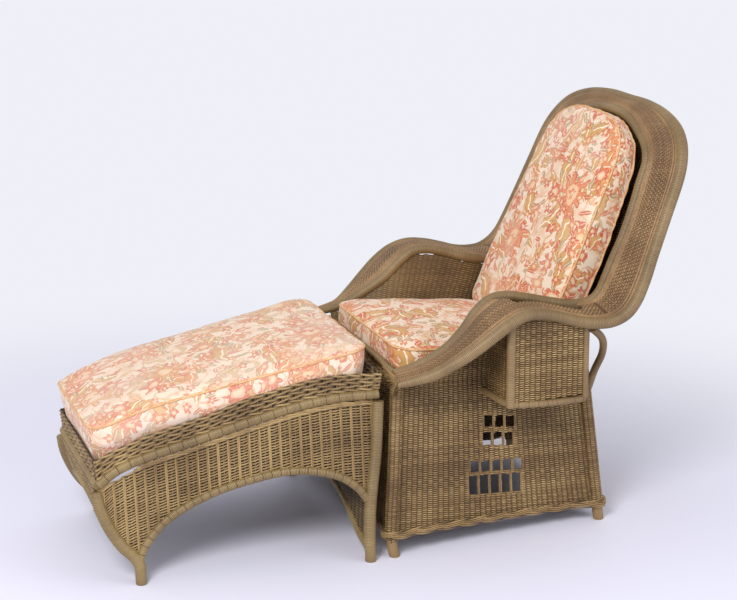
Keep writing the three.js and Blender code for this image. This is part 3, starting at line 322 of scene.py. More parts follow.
def weave(piece, at, stakes, rows, outward, inside=None, thick=1.0, fill=0.88, swing=2.9, per=4,
          sides=4, stake_r=0.0, wobble=0.05, half=np.inf, thin=1.0, lining=True, together=False,
          lining_shade=0.0, dip=0.66):
    """Plain weave on at(s, t): stakes at whole s, rows at whole t, which pass in front of and
    behind the stakes by turns, or all alike if together. inside(s, t) says where there is work.
    The rows bend round every second stake less where thin is below 1. The lining is a sheet in the
    middle of the weave, so that no light comes through; it is coloured with painted shade, and the
    lining's shade level sets how light. dip is how much painted shade the rows take away from their
    crests."""
    inside = inside or (lambda s, t: np.ones(s.shape, bool))
    s = np.linspace(0, stakes, stakes * per + 1)
    t0 = np.arange(rows + 1, dtype=float)
    S, T = np.meshgrid(s, t0)
    drift = np.cumsum(RNG.normal(0, 1, S.shape), axis=1)
    drift -= drift.mean(1, keepdims=True)
    T = T + wobble * RNG.normal(0, 1, S.shape) + DRIFT * drift
    N = normals_of(at, S, T, outward)
    apart = np.linalg.norm(at(S, T + NUDGE) - at(S, T - NUDGE), axis=-1) / (2 * NUDGE)
    wave = np.cos(np.pi * S) * (1 if together else np.where(t0 % 2 == 0, 1, -1)[:, None])
    wave = np.sign(wave) * np.abs(wave) ** (0.8 if together else 1.1)
    wave = wave * np.where(np.round(S) % 2 == 1, thin, 1.0)
    size = RNG.normal(1, SIZE_SPREAD, (rows + 1, 1))
    high = np.minimum(apart * fill / 2, half) * size
    # low is the rows' painted shade: darker where they pass behind the stakes and where they cross
    # between them
    if together:
        low = 1 - dip + dip * wave
    else:  # rows swell where they pass in front, and are darkest where they cross
        high = high * (1 + 0.4 * wave)
        low = 1 - dip * (1 - np.abs(wave)) - 0.2 * (wave < 0)
    strands(piece, at(S, T) + N * (swing * wave)[..., None], N, high, thick * size, inside(S, T),
            sides, RNG.random(rows + 1), low)
    # the lining is coloured with painted shade
    if lining:
        S, T = np.meshgrid(s, np.linspace(0, rows, rows // (3 if rows > 90 else 1) + 1))
        depth = -swing - LINING_BEHIND if together else -LINING_DEPTH
        verts = at(S, T) + normals_of(at, S, T, outward) * depth
        piece.add(verts, grid_quads(*S.shape, inside(S, T)), 0.2, lining_shade)
    if stake_r:
        T, S = np.meshgrid(np.arange(0, rows + 0.25, 0.5), np.arange(stakes + 1, dtype=float))
        strands(piece, at(S, T), normals_of(at, S, T, outward), stake_r, stake_r, inside(S, T),
                tone=RNG.random(stakes + 1), low=0.35)


def frames(points):
    """Tangent and two cross directions along a polyline, without twist."""
    tangent = unit(np.gradient(points, axis=0))
    normal = np.zeros_like(points)
    start = np.array([0.0, 0.0, 1.0])
    if abs(tangent[0] @ start) > 0.9:
        start = np.array([1.0, 0.0, 0.0])
    n = unit(start - tangent[0] * (tangent[0] @ start))
    for i, t in enumerate(tangent):
        n = unit(n - t * (t @ n))
        normal[i] = n
    return tangent, normal, np.cross(tangent, normal)


def wrapped(piece, curve, radius, turn=3.6, sides=12, groove=0.45, swell=0.12, seam=0,
            seam_deep=1.0, start=0.0, keep=None, shade=0.1):
    """A pole bound with flat cane: one long helix whose turns meet in grooves. Every seam-th
    groove is deeper and darkest. The grooves are coloured with painted shade, and shade is how
    light they are."""
    line = curve.at(np.linspace(start, 1.0, max(24, int(curve.length * (1.0 - start) / 4))))
    _, across, beside = frames(line)
    where = run_of(line)
    length = where[-1]
    steps = 4
    turns = int(math.ceil(length / turn)) + 1
    turn = length / (turns - 1)
    I, J = np.meshgrid(np.arange(turns * steps + 1), np.arange(sides), indexing="ij")
    S = np.clip((I / steps + J / sides - 1) * turn, 0, length)
    phase, number = I % steps, I // steps
    rise = np.array([-groove, swell * 0.6, swell, swell * 0.6])[phase]
    nick = (phase < 2) & (number % seam == 0 if seam else False)
    rise = np.where(nick, -groove - seam_deep * np.where(phase == 0, 1.0, 0.6), rise)
    radii = np.atleast_1d(radius)
    R = np.interp(S / length, np.linspace(0, 1, len(radii)), radii) + rise
    angle = J * 2 * np.pi / sides
    c, n, b = (interp(S, where, table) for table in (line, across, beside))
    P = c + unit(n) * (R * np.cos(angle))[..., None] + unit(b) * (R * np.sin(angle))[..., None]
    a = np.arange(turns * steps - steps)  # the last side meets the first one a turn further on
    closing = np.stack([a * sides + sides - 1, (a + steps) * sides, (a + 1 + steps) * sides,
                        (a + 1) * sides + sides - 1], -1)
    quads = np.concatenate([grid_quads(turns * steps + 1, sides), closing])
    if keep is not None:
        quads = quads[keep(S.reshape(-1) / length)[quads].all(1)]
    quads = quads[np.ptp(S.reshape(-1)[quads], axis=1) > 1e-6]
    tone = 0.2 + 0.6 * RNG.random(turns + 2)[number]
    # grooves and the deeper nicks take painted shade; the crests take little
    piece.add(P, quads, tone, np.where(nick, 0.0, np.where(phase == 0, shade, 0.9)))
    for end in (0, -1) if keep is None else ():  # a pole with gaps has no whole ends
        disc(piece, line[end], across[end] * radii[end], beside[end] * radii[end], sides)


def disc(piece, centre, a, b, sides):
    angle = np.arange(sides) * 2 * np.pi / sides
    ring = centre + np.outer(np.cos(angle), a) + np.outer(np.sin(angle), b)
    inner = centre + (ring - centre) * 0.02
    piece.add(np.vstack([ring, inner]), grid_quads(2, sides, wrap=True), 0.5, 0.6)


def peg(piece, line, levels):
    """A bare turned peg: level rings round a leaning line, from the floor to the wrapped part."""
    sides = 16
    z = np.array([0, 0, 1.2, *levels], float)
    radii = np.array([0.3, PEG_R - 1.0, PEG_R, PEG_R + 0.2, PEG_R + 0.4, PEG_R])
    angle = np.arange(sides) * 2 * np.pi / sides
    ring = np.stack([np.cos(angle), np.sin(angle), np.zeros(sides)], 1)
    axis = np.column_stack([interp(z, line[:, 2], line[:, :2]), z])
    verts = axis[:, None] + ring * radii[:, None, None]
    piece.add(verts, grid_quads(6, sides, wrap=True), 0.5, 0.56)


def pole(name, node, points, radius, body="chair", **wrapping):
    piece = Piece()
    wrapped(piece, Curve(points), radius, **wrapping)
    piece.make(name, CANE if body == "ottoman" else WRAP, body, [node])


def woven(name, node, at, stakes, rows, outward, inside=None, body="chair", **weaving):
    piece = Piece()
    weave(piece, at, stakes, rows, outward, inside, **weaving)
    piece.make(name, WILLOW if body == "ottoman" else WICKER, body, [node])


# ---- materials
def srgb(r, g, b):
    lin = [c / 12.92 if c <= 0.04045 else ((c + 0.055) / 1.055) ** 2.4
           for c in (r / 255, g / 255, b / 255)]
    return (*lin, 1.0)


class Graph:
    """Short names for the shader nodes of one material, or of the world."""

    def __init__(self, owner):
        owner.use_nodes = True
        self.owner, self.nodes, self.links = owner, owner.node_tree.nodes, owner.node_tree.links
        self.shader = self.nodes.get("Principled BSDF") or self.nodes["Background"]

    def put(self, socket, value):
        if isinstance(value, bpy.types.NodeSocket):
            self.links.new(value, socket)
        else:
            socket.default_value = value

    def node(self, kind, inputs=(), **settings):
        node = self.nodes.new("ShaderNode" + kind)
        for key, value in settings.items():
            setattr(node, key, value)
        for key, value in dict(inputs).items():
            self.put(node.inputs[key], value)
        return node

    def math(self, op, a, b=0.0, c=0.0):
        return self.node("Math", enumerate((a, b, c)), operation=op).outputs[0]

    def add(self, a, b):
        return self.math("ADD", a, b)

    def sub(self, a, b):
        return self.math("SUBTRACT", a, b)

    def mul(self, a, b):
        return self.math("MULTIPLY", a, b)

    def step(self, x, low, high):
        """0 below low, 1 above high, smooth between."""
        node = self.node("MapRange", {"Value": x, "From Min": low, "From Max": high},
                         interpolation_type="SMOOTHSTEP")
        return node.outputs["Result"]

    def chosen(self, number, share):
        """1 for a share of random numbers."""
        return self.step(number, 1 - share - 0.02, 1 - share + 0.02)

    def vec(self, op, a, b):
        """b is a vector too, or the factor of SCALE."""
        inputs = {0: a, "Scale" if op == "SCALE" else 1: b}
        return self.node("VectorMath", inputs, operation=op).outputs["Vector"]

    def mix(self, factor, a, b):
        node = self.node("Mix", {"Factor": factor, "A": a, "B": b}, data_type="RGBA")
        return node.outputs["Result"]

    def noise(self, vector, scale, detail=3.0):
        node = self.node("TexNoise", {"Vector": vector, "Scale": scale, "Detail": detail})
        return node.outputs["Fac"], node.outputs["Color"]

    def ramp(self, fac, *stops):
        node = self.node("ValToRGB", {"Fac": fac})
        elements = node.color_ramp.elements
        while len(elements) < len(stops):
            elements.new(0.5)
        for element, (where, colour) in zip(elements, stops):
            element.position, element.color = where, colour
        return node.outputs["Color"]

    def cells(self, vector, scale, randomness):
        """Scattered places: a point's offset from its place, its distance, and 3 random numbers."""
        scaled = self.vec("SCALE", vector, scale)
        node = self.node("TexVoronoi", {"Vector": scaled, "Scale": 1.0, "Randomness": randomness},
                         voronoi_dimensions="2D")
        offset = self.vec("SUBTRACT", scaled, node.outputs["Position"])
        local = self.node("SeparateXYZ", {0: offset})
        colour = self.node("SeparateColor", {0: node.outputs["Color"]})
        return *local.outputs[:2], node.outputs["Distance"], colour.outputs[:3]

    def turned(self, x, y, angle):
        c, s = self.math("COSINE", angle), self.math("SINE", angle)
        return self.add(self.mul(x, c), self.mul(y, s)), self.sub(self.mul(y, c), self.mul(x, s))

    def finish(self, colour, rough, bump, strength, distance):
        node = self.node("Bump", {"Height": bump, "Strength": strength, "Distance": distance})
        for key, value in (("Base Color", colour), ("Roughness", rough),
                           ("Normal", node.outputs["Normal"])):
            self.put(self.shader.inputs[key], value)
        return self.owner


def painted(name, light, mid, dark, shade_and_dirt, rough=0.5, vary=0.3):
    """Old paint on cane: tone varies by strand and by patch, and the crevices take a dark colour
    that is painted shade with some dirt.
    """
    g = Graph(bpy.data.materials.new(name))
    place = g.node("TexCoord").outputs["Object"]
    tone, low = (g.node("Attribute", attribute_name=key).outputs["Fac"] for key in ("tone", "low"))
    patch, fine = g.noise(place, 9.0, 5.0)[0], g.noise(place, 420.0)[0]
    value = g.math("MULTIPLY_ADD", fine, 0.3, g.math("MULTIPLY_ADD", tone, vary, patch))
    middle = 0.65 + vary / 2
    colour = g.ramp(value, (middle - 0.3, srgb(*dark)), (middle, srgb(*mid)),
                    (min(middle + 0.3, 1.0), srgb(*light)))
    # painted shade, with some dirt, where low is small: grooves, gaps between strands and linings
    depth = g.ramp(low, (0.12, (1, 1, 1, 1)), (0.72, (0, 0, 0, 1)))
    sheen = g.ramp(fine, (0.3, (rough - 0.08,) * 3 + (1,)), (0.7, (rough + 0.12,) * 3 + (1,)))
    return g.finish(g.mix(depth, colour, srgb(*shade_and_dirt)), sheen, fine, 0.25, 0.0006)


# The fourth colour of each is the painted shade, with some dirt, of crevices, gaps and linings.
WICKER = painted("wicker_paint", (182, 150, 100), (155, 124, 79), (120, 91, 56), (36, 21, 12))
WRAP = painted("wrap_paint", (156, 129, 87), (137, 111, 72), (112, 89, 56), (48, 32, 19), 0.44, 0.2)
WILLOW = painted("ottoman_wicker_paint", (170, 142, 94), (145, 118, 76), (112, 86, 52),
                 (36, 22, 12))
BAND = painted("band_paint", (168, 132, 90), (145, 112, 74), (114, 85, 54), (44, 27, 16))
CANE = painted("ottoman_wrap_paint", (160, 135, 87), (141, 117, 74), (114, 92, 56), (48, 33, 19),
               0.40, 0.22)


def fabric_material(name, faded):
    """Printed cotton: scattered blooms, sprays of leaves and curling stems on an ivory ground."""
    g = Graph(bpy.data.materials.new(name))
    cloth = g.node("UVMap", uv_map="cloth").outputs["UV"]
    raw = g.vec("SCALE", cloth, 0.78)
    bent = raw
    for scale, reach in ((14.0, 0.05), (60.0, 0.012)):
        sway = g.vec("SUBTRACT", g.noise(raw, scale, 2.0)[1], (0.5, 0.5, 0.5))
        bent = g.vec("ADD", bent, g.vec("SCALE", sway, reach))
    wash = g.noise(raw, 16.0, 4.0)[0]
    colour = g.mix(g.step(wash, 0.5, 0.66), srgb(234, 211, 187), srgb(224, 190, 158))

    # curling stems
    for scale, wide, tint, seed in ((13.0, 0.022, (208, 172, 124), 0.0),
                                    (26.0, 0.03, (226, 178, 142), 5.0)):
        line = g.noise(g.vec("ADD", bent, (seed, seed, 0)), scale, 1.0)[0]
        away = g.math("ABSOLUTE", g.sub(line, 0.5))
        colour = g.mix(g.sub(1.0, g.step(away, wide * 0.5, wide)), colour, srgb(*tint))

    # leaves, in sprays of three sizes
    for scale, wide, share, tints in (
            (12.0, 0.22, 0.80, ((206, 156, 92), (210, 166, 110))),
            (22.0, 0.21, 0.70, ((208, 158, 96), (218, 142, 88))),
            (40.0, 0.22, 0.55, ((178, 150, 108), (206, 110, 74)))):
        x, y, _, (r1, r2, r3) = g.cells(g.vec("ADD", bent, (scale, 0.3, 0)), scale, 0.9)
        u, v = g.turned(x, y, g.mul(r1, FULL_TURN))
        v = g.math("ABSOLUTE", v)
        along = g.math("DIVIDE", u, 0.52)
        edge = g.mul(g.sub(1.0, g.mul(along, along)), wide)
        teeth = g.mul(g.math("SINE", g.mul(u, 42.0)), 0.022)
        room = g.sub(g.add(edge, teeth), v)
        tint = g.mix(g.step(r3, 0.45, 0.55), *(srgb(*t) for t in tints))
        tint = g.mix(g.step(room, 0.03, 0.07), g.mix(0.6, tint, srgb(166, 104, 62)), tint)
        tint = g.mix(g.step(v, 0.010, 0.028), srgb(246, 228, 204), tint)
        colour = g.mix(g.mul(g.step(room, 0.0, 0.03), g.chosen(r2, share)), colour, tint)

    # blooms with petals, a ring and a heart
    for scale, radius, petals, seed, tints, share in (
            (8.0, 0.36, 11.0, 3.1, ((214, 152, 90), (216, 130, 82)), 0.62),
            (17.0, 0.40, 6.0, 1.7, ((204, 102, 64), (218, 146, 94)), 0.40),
            (38.0, 0.40, 5.0, 8.3, ((200, 88, 56), (214, 126, 78)), 0.50)):
        x, y, away, (r1, r2, r3) = g.cells(g.vec("ADD", bent, (seed, seed * 0.7, 0)), scale, 0.75)
        angle = g.add(g.math("ARCTAN2", y, x), g.mul(r1, FULL_TURN))
        lobes = g.math("COSINE", g.mul(angle, petals))
        room = g.sub(g.mul(g.math("MULTIPLY_ADD", lobes, 0.24, 0.76), radius), away)
        bloom = g.mul(g.step(room, 0.0, 0.02), g.chosen(r2, share))
        tint = g.mix(g.step(r3, 0.50, 0.60), *(srgb(*t) for t in tints))
        streak = g.step(g.math("COSINE", g.mul(angle, petals * 3)), 0.2, 0.9)
        tint = g.mix(g.mul(streak, 0.32), tint, srgb(238, 208, 184))
        tint = g.mix(g.step(room, radius * 0.06, radius * 0.16), srgb(192, 94, 58), tint)
        ring = g.math("MULTIPLY_ADD", g.step(away, radius * 0.34, radius * 0.42), 0.6, 0.4)
        tint = g.mix(ring, srgb(240, 210, 168), tint)
        tint = g.mix(g.step(away, radius * 0.18, radius * 0.25), srgb(228, 200, 166), tint)
        colour = g.mix(bloom, colour, tint)

    # worn print: paler where the cloth has rubbed
    rub = g.noise(raw, 9.0, 5.0)[0]
    worn = g.math("MULTIPLY_ADD", g.step(rub, 0.42, 0.68), 0.26, faded)
    colour = g.mix(worn, colour, srgb(226, 206, 188))
    g.put(g.shader.inputs["Sheen Weight"], 0.15)
    threads = g.node("SeparateXYZ", {0: cloth}).outputs
    warp, weft = (g.math("SINE", g.mul(threads[k], 2 * math.pi / THREAD)) for k in (0, 1))
    return g.finish(colour, 0.88, g.mul(warp, weft), 0.25, 0.0003)


def piping_material():
    g = Graph(bpy.data.materials.new("piped_edge"))
    place = g.node("TexCoord").outputs["Object"]
    patch, twist = g.noise(place, 60.0)[0], g.noise(place, 900.0, 2.0)[0]
    colour = g.mix(g.step(patch, 0.45, 0.6), srgb(220, 180, 130), srgb(212, 156, 108))
    return g.finish(colour, 0.85, twist, 0.3, 0.0003)


FABRICS = {name: fabric_material(f"{name}_cotton", faded)
           for name, faded in (("seat_pad", -0.16), ("back_pad", -0.04), ("ottoman_pad", 0.2))}
PIPING = piping_material()

# ---- camera
EYE = np.array([3804.087, -1345.053, 1650.152])
RIGHT = np.array([0.34479941, 0.93865536, -0.00628369])
UP = np.array([-0.24921395, 0.09799446, 0.96347781])
AHEAD = np.array([-0.90498938, 0.3306406, -0.26771444])
FOCAL_PX, PHOTO_WIDTH_PX, SENSOR = 1794.747, 737, 36
camera = show("camera", bpy.data.cameras.new("camera"))
bpy.context.scene.camera = camera
camera.data.sensor_width = SENSOR
camera.data.lens = SENSOR * FOCAL_PX / PHOTO_WIDTH_PX
camera.matrix_world = Matrix(np.vstack([
    np.column_stack([RIGHT, UP, -AHEAD, (EYE + SHIFT) / 1000]), [0, 0, 0, 1]]).tolist())


# ---- rim: rolls and bands
def full(table):
    half = chair(table)
    return np.vstack([half, half[:-1][::-1] * (-1, 1, 1)])


taper = np.ones(61)
taper[:3] = taper[-3:][::-1] = (0.55, 0.8, 0.95)
for roll, table, radius in (("outer", OUTER_ROLL, OUTER_R), ("inner", INNER_ROLL, INNER_R)):
    pole(f"{roll}_roll", f"rim_{roll}_roll", full(table), (radius - 0.8) * taper, sides=13)

# Stakes of the band lie an equal distance apart along its middle.
fine_rows = np.linspace(0, 2 * LAST_ROW, 2401)
run = run_of(band(fine_rows, 0.5))
BAND_PITCH = 4.6
BAND_STAKES = int(run[-1] / BAND_PITCH)
BAND_OUT = (0, -0.3, 1.0)
OPEN_ROWS = np.linspace(0.315, 0.775, 10)
RIDGES = [(0.115, 3.2), (0.167, 3.2), (0.219, 3.2), (0.268, 3.0), (0.822, 3.2), (0.885, 4.2)]


def band_row(s):
    return np.interp(np.asarray(s, float) * run[-1] / BAND_STAKES, run, fine_rows)


def open_share(t):
    shares = np.concatenate([[0.27], OPEN_ROWS, [0.82]])
    return np.interp(t, np.arange(-1, len(OPEN_ROWS) + 1), shares)


def worked(row, v):
    return v > mouth_edge(row) + 0.01


def band_piece(name, node, first, last):
    piece = Piece()
    ends = [np.interp(row, fine_rows, run) / run[-1] * BAND_STAKES for row in (first, last)]
    start = math.ceil(ends[0])
    count = math.floor(ends[1]) - start
    weave(piece, lambda s, t: band(band_row(s + start), open_share(t)), count, len(OPEN_ROWS) - 1,
          BAND_OUT, lambda s, t: worked(band_row(s + start), open_share(t)), thick=1.3, fill=0.92,
          swing=1.3, per=2, sides=5, wobble=0.02, half=2.6, lining=False, dip=0.4)
    # a lining between the rolls, so that no light comes through, coloured with painted shade
    R, V = np.meshgrid(np.linspace(first, last, int((last - first) * 5) + 1),
                       np.linspace(0.29, 0.8, 9), indexing="ij")
    piece.add(band(R, V) - (0, 0, 0.2), grid_quads(*R.shape, V > mouth_edge(R) + 0.02), 0.2, 0.15)
    # cross strands from roll to roll
    V, K = np.meshgrid(np.linspace(0.08, 0.93, 12), np.arange(count + 1, dtype=float))
    rows = band_row(K + start)
    strands(piece, band(rows, V), normals_of(band, rows, V, BAND_OUT), 1.5, 1.2, worked(rows, V), 4,
            RNG.random(count + 1), 0.5)
    # wrapped ridges beside the rolls
    rows = np.linspace(first, last, 60)
    width = np.linalg.norm(outer_row(near_half(rows)) - inner_row(near_half(rows)), axis=1)
    for v0, radius in RIDGES:
        wrapped(piece, Curve(band(rows, v0)), radius * np.clip(width / 112, 0.45, 1.1), sides=6,
                groove=0.1, swell=0.05, shade=0.62,
                keep=lambda u, v0=v0: worked(first + (last - first) * u, v0))
    piece.make(name, BAND, "chair", [node])


band_piece("woven_arm_left", "arm_band_left", 0, BACK_ROW)
band_piece("woven_back_band", "back_band", BACK_ROW, 2 * LAST_ROW - BACK_ROW)
band_piece("woven_arm_right", "arm_band_right", 2 * LAST_ROW - BACK_ROW, 2 * LAST_ROW)

# ---- chair: sides
arm_line = inner_row(np.linspace(0, 13.4, 500))
SIDE_STAKES, SIDE_ROWS, SIDE_FROM = 37, 206, 50
SIDE_SPLIT = round((SEAM - SIDE_FROM) / ROW_PITCH)


def rear_edge(z):
    return np.where(z < REAR_POST_TOP, rear_y(z) - 8, back_y(z))


def side_point(y, z):
    """The wall of the base up to the seam, then the arm's wall that bows out to the roll."""
    top_x, top = edge_at(arm_line, y)
    f = np.clip((z - SEAM) / np.maximum(top - SEAM, 1), 0, 1.2)
    return grid(np.where(z < SEAM, side_x(y, z), side_x(y, SEAM) * (1 - f) + top_x * f), y, z)


def side_yz(s, t):
    z0 = SIDE_FROM + ROW_PITCH * t
    y = front_y(z0) + 12 + (rear_edge(z0) - front_y(z0) - 18) * s / SIDE_STAKES
    slope = 0.025 + 0.05 * smoothstep(z0, 57, 150)
    return y, z0 - slope * (y - front_y(z0))


def window_rows():
    for start, count, rows in (UPPER_WINDOWS, LOWER_WINDOWS):
        for r, (top, tall) in enumerate(rows):
            yield start, count, r, top, tall


HOLES = []
for start, count, r, top, tall in window_rows():
    for i in range(count):
        y, z = start + i * WINDOW_PITCH - r * WINDOW_SHIFT, top - WINDOW_DROP * i / count
        HOLES.append((y, y + WINDOW_WIDE, z - tall, z))


def side_piece(hand, sign, upper):
    piece = Piece()

    def inside(s, t):
        y, z = side_yz(s, t)
        ok = (z < edge_at(arm_line, y)[1] - 6) & (z > 38)
        ok &= (y > front_y(z) + 4) & (y < rear_edge(z) + 4)
        ok &= (t > SIDE_SPLIT - 0.7) if upper else (t < SIDE_SPLIT - 0.3)
        for y0, y1, z0, z1 in HOLES:
            ok &= ~((y > y0 + 0.5) & (y < y1 - 0.5) & (z > z0) & (z < z1))
        return ok

    # the lining behind the wall is coloured with painted shade, lighter on the arm
    weave(piece, lambda s, t: side_point(*side_yz(s, t)) * (sign, 1, 1), SIDE_STAKES, SIDE_ROWS,
          (sign, 0, 0.1), inside, fill=0.86, thin=0.85, lining_shade=0.35 if upper else 0.1)
    if upper:
        piece.make(f"woven_arm_wall_{hand}", WICKER, "chair", [f"arm_panel_{hand}"])
        return
    out = unit(np.array([sign, 0.06, 0.11]))
    for start, count, r, top, tall in window_rows():
        # the bars between the windows are their own pairs of stakes
        for i in range(count + 1):
            y = start + i * WINDOW_PITCH - r * WINDOW_SHIFT - (WINDOW_PITCH - WINDOW_WIDE) / 2
            z1 = top - WINDOW_DROP * i / count + 6
            z = np.linspace(z1 - tall - 12, z1, 8)
            for d in (-1.7, 1.7):
                strands(piece, side_point(y + d, z) * (sign, 1, 1), out, 1.6, 1.7,
                        tone=0.3 * RNG.random(), low=0.56)
        # two woven strands run above and below the windows, with painted shade where they pass
        # behind
        for d in (1.5, 5.5, -tall - 1.5, -tall - 5.5):
            y = np.linspace(start - 14 - r * 6, start + count * WINDOW_PITCH + 4, 8 * count)
            z = top + d + 1.5 - WINDOW_DROP * (y - start) / (count * WINDOW_PITCH)
            wave = np.sin(np.pi * (y - start) / WINDOW_PITCH + (0 if round(abs(d)) % 4 else np.pi))
            line = side_point(y, z) * (sign, 1, 1) + out * (wave * 3.2)[:, None]
            strands(piece, line, out, 1.5, 1.4, tone=0.3 * RNG.random(), low=0.5 + 0.1 * wave)
    piece.make(f"woven_side_{hand}", WICKER, "chair", [f"side_panel_{hand}"])


for hand, sign in HANDS:
    for upper in (False, True):
        side_piece(hand, sign, upper)


# ---- chair: front, rear and back
def wall(name, node, y_of, z_from, z_to, outward):
    """A flat wall between two posts."""
    stakes = int(2 * side_x(y_of(z_from), z_from) / STAKE_PITCH)
    rows = int((z_to - z_from) / ROW_PITCH)

    def at(s, t):
        z = z_from + (z_to - z_from) * t / rows
        return grid((2 * s / stakes - 1) * (side_x(y_of(z), z) - POST_R), y_of(z), z)

    woven(name, node, at, stakes, rows, outward, thin=0.85)


wall("woven_front", "front_panel", front_y, 47, FRONT_TOP, (0, -1, 0))
wall("woven_rear", "rear_panel", rear_y, 40, 414, (0, 1, 0))

BACK_TILT = math.atan2(BACK_RAKE, HEIGHT)
PANEL_BEHIND = (INNER_R + 0.5 + 4.5) / math.cos(BACK_TILT)
BACK_FROM, BACK_TO, BACK_SIDE, BACK_STAKES = 330, 936, 252, 40
BACK_ROWS = int((BACK_TO - BACK_FROM) / math.cos(BACK_TILT) / (ROW_PITCH + 0.35))


def back_half(z):
    p = inner_row(np.linspace(BACK_ROW + 1, LAST_ROW, 60))
    low = np.array([334, SEAM])
    return np.interp(z, np.concatenate([low, p[:, 2] - 4]),
                     np.concatenate([side_x(back_y(low), low), p[:, 0] + 5]))


def back_at(s, t):
    z = BACK_FROM + (BACK_TO - BACK_FROM) * t / BACK_ROWS
    y = BACK_SHIFT + PANEL_BEHIND + BACK_RAKE * z / HEIGHT
    return grid((2 * s / BACK_STAKES - 1) * BACK_SIDE, y, z)


def back_inside(s, t):
    p = back_at(s, t)
    return np.abs(p[..., 0]) < back_half(p[..., 2])


woven("woven_back", "back_panel", back_at, BACK_STAKES, BACK_ROWS, (0, 1.0, -0.4), back_inside,
      swing=2.7, fill=0.85, per=2, thin=0.85)

# ---- posts and braces
POST_STAKES = 8


def post_points(sign, rear):
    top = REAR_POST_TOP if rear else FRONT_TOP
    edge = rear_y if rear else front_y
    ys = [(DEPTH if rear else 0) if z == 0 else edge(z) for z in (0, PEG_HEIGHT, top / 2, top)]
    return [(sign * side_x(y, z), y, z) for y, z in zip(ys, (0, PEG_HEIGHT, top / 2, top))]


for hand, sign in HANDS:
    for where, rear in (("front", False), ("rear", True)):
        piece = Piece()
        curve = Curve(post_points(sign, rear))
        peg(piece, curve.point(FINE), (20, 40, 46))
        u = np.linspace(0, 1, 300)
        begin = np.interp(36, curve.at(u)[:, 2], u)
        line = curve.at(np.linspace(begin, 1.0, 80))
        _, across, beside = frames(line)
        rows = int(curve.length * (1 - begin) / ROW_PITCH)
        bend = np.linspace(0, rows, len(line))

        def round_post(s, t, radius=POST_R - 1.6, middle=1):
            c, a, b = (interp(t, bend, table) for table in (line, across, beside))
            angle = (np.asarray(s, float) * 2 * np.pi / POST_STAKES)[..., None]
            return c * middle + radius * (a * np.cos(angle) + b * np.sin(angle))

        weave(piece, round_post, POST_STAKES, rows, lambda s, t: round_post(s, t, 1.0, 0),
              swing=1.3, fill=0.86)
        piece.make(f"{where}_post_{hand}", WICKER, "chair", [f"{where}_leg_{hand}"])
    pole(f"brace_{hand}", f"back_brace_{hand}", chair(BRACE) * (sign, 1, 1), 8.7)

# ---- front: rim, border, gussets
start = inner_row(0.0)
pole("front_rim_wrap", "front_rim",
     [start * (-1, 1, 1), (0, front_y(FRONT_TOP) - 7, start[2]), start], 6.3, turn=4.5, sides=10,
     groove=0.5, shade=0.2)

piece = Piece()
border_y, border_foot = front_y(FRONT_TOP), 391
border_w = side_x(border_y, FRONT_TOP) - 12
s = np.linspace(0, 1, 7)
for lean, out in ((24, -2.4), (-24, 2.4)):
    x0 = np.linspace(-border_w + max(0, -lean), border_w - max(0, lean), 34)
    line = grid(x0[:, None] + lean * s, border_y + out * np.sin(np.pi * s),
                border_foot + (start[2] - border_foot) * s)
    strands(piece, line, (0, -1.0, 0), 2.3, 1.9, tone=RNG.random(len(x0)))
x = np.linspace(-border_w, border_w, 240)
for k, z0 in enumerate((393.5, 399.5)):
    strands(piece, grid(x, border_y + 3.0 * np.cos(np.pi * x / 16 + k * np.pi), z0), (0, -1.0, 0),
            2.6, 1.9, tone=RNG.random())
piece.make("open_front_border", WICKER, "chair", ["front_border"])

GUSSET_STAKES, GUSSET_ROWS = 6, 12
low = np.array([side_x(front_y(SEAM), SEAM) - 2, front_y(SEAM) - 10, SEAM - 30])
inner_tip, outer_tip = start + (4, 0, 0), outer_row(0.0) + (4, 2, 6)
for hand, sign in HANDS:
    def gusset(s, t):
        across = (np.asarray(s, float) / GUSSET_STAKES)[..., None]
        top = inner_tip + (outer_tip - inner_tip) * across
        f = (0.1 + 0.92 * np.asarray(t, float) / GUSSET_ROWS)[..., None]
        return (low + (top - low) * f) * (sign, 1, 1)

    piece = Piece()
    weave(piece, gusset, GUSSET_STAKES, GUSSET_ROWS, (0, -1.0, 0), thick=1.5, fill=0.8,
          swing=1.8, sides=6, stake_r=2.2, together=True, dip=0.25)
    # strands that fan out from the end of the arm's roll over the corner
    f, u = np.linspace(0, 1, 11)[:, None, None], np.linspace(0, 1, 10)[None, :, None]
    bulge = np.array([0.4, -0.8, 0.5])
    root = start + (-60, -5, 6)
    root = root + (low - root) * f
    tip = outer_row(0.0) + (-3, 6, 9) + (0, 9, -9) * f
    line = (root + (tip - root) * u + bulge * 7 * np.sin(np.pi * u)) * (sign, 1, 1)
    strands(piece, line, unit(bulge * (sign, 1, 1)), 1.9, 1.5, tone=RNG.random(11), low=0.85)
    piece.make(f"gusset_weave_{hand}", WICKER, "chair", [f"arm_gusset_{hand}"])


# ---- plaited border at the floor
def braid_path():
    reach = 20.5  # how far the plait stands out from the base's corners
    z = 48.0
    front, rear = front_y(z), rear_y(z)
    corners = [(-side_x(front, z), front, 1, 1), (side_x(front, z), front, -1, 1),
               (side_x(rear, z), rear, -1, -1), (-side_x(rear, z), rear, 1, -1)]
    points = []
    for k, (x, y, a, b) in enumerate(corners):
        d = reach * math.sqrt(0.5)
        bend = [(x - a * 10, y + b * 45), (x - a * reach, y + b * 5), (x - a * d, y - b * d),
                (x + a * 5, y - b * reach), (x + a * 45, y - b * 10)]
        points += [(px, py, 55 - 12 * (py - front) / (rear - front))
                   for px, py in bend[::1 if k % 2 == 0 else -1]]
    return Curve(points, closed=True)


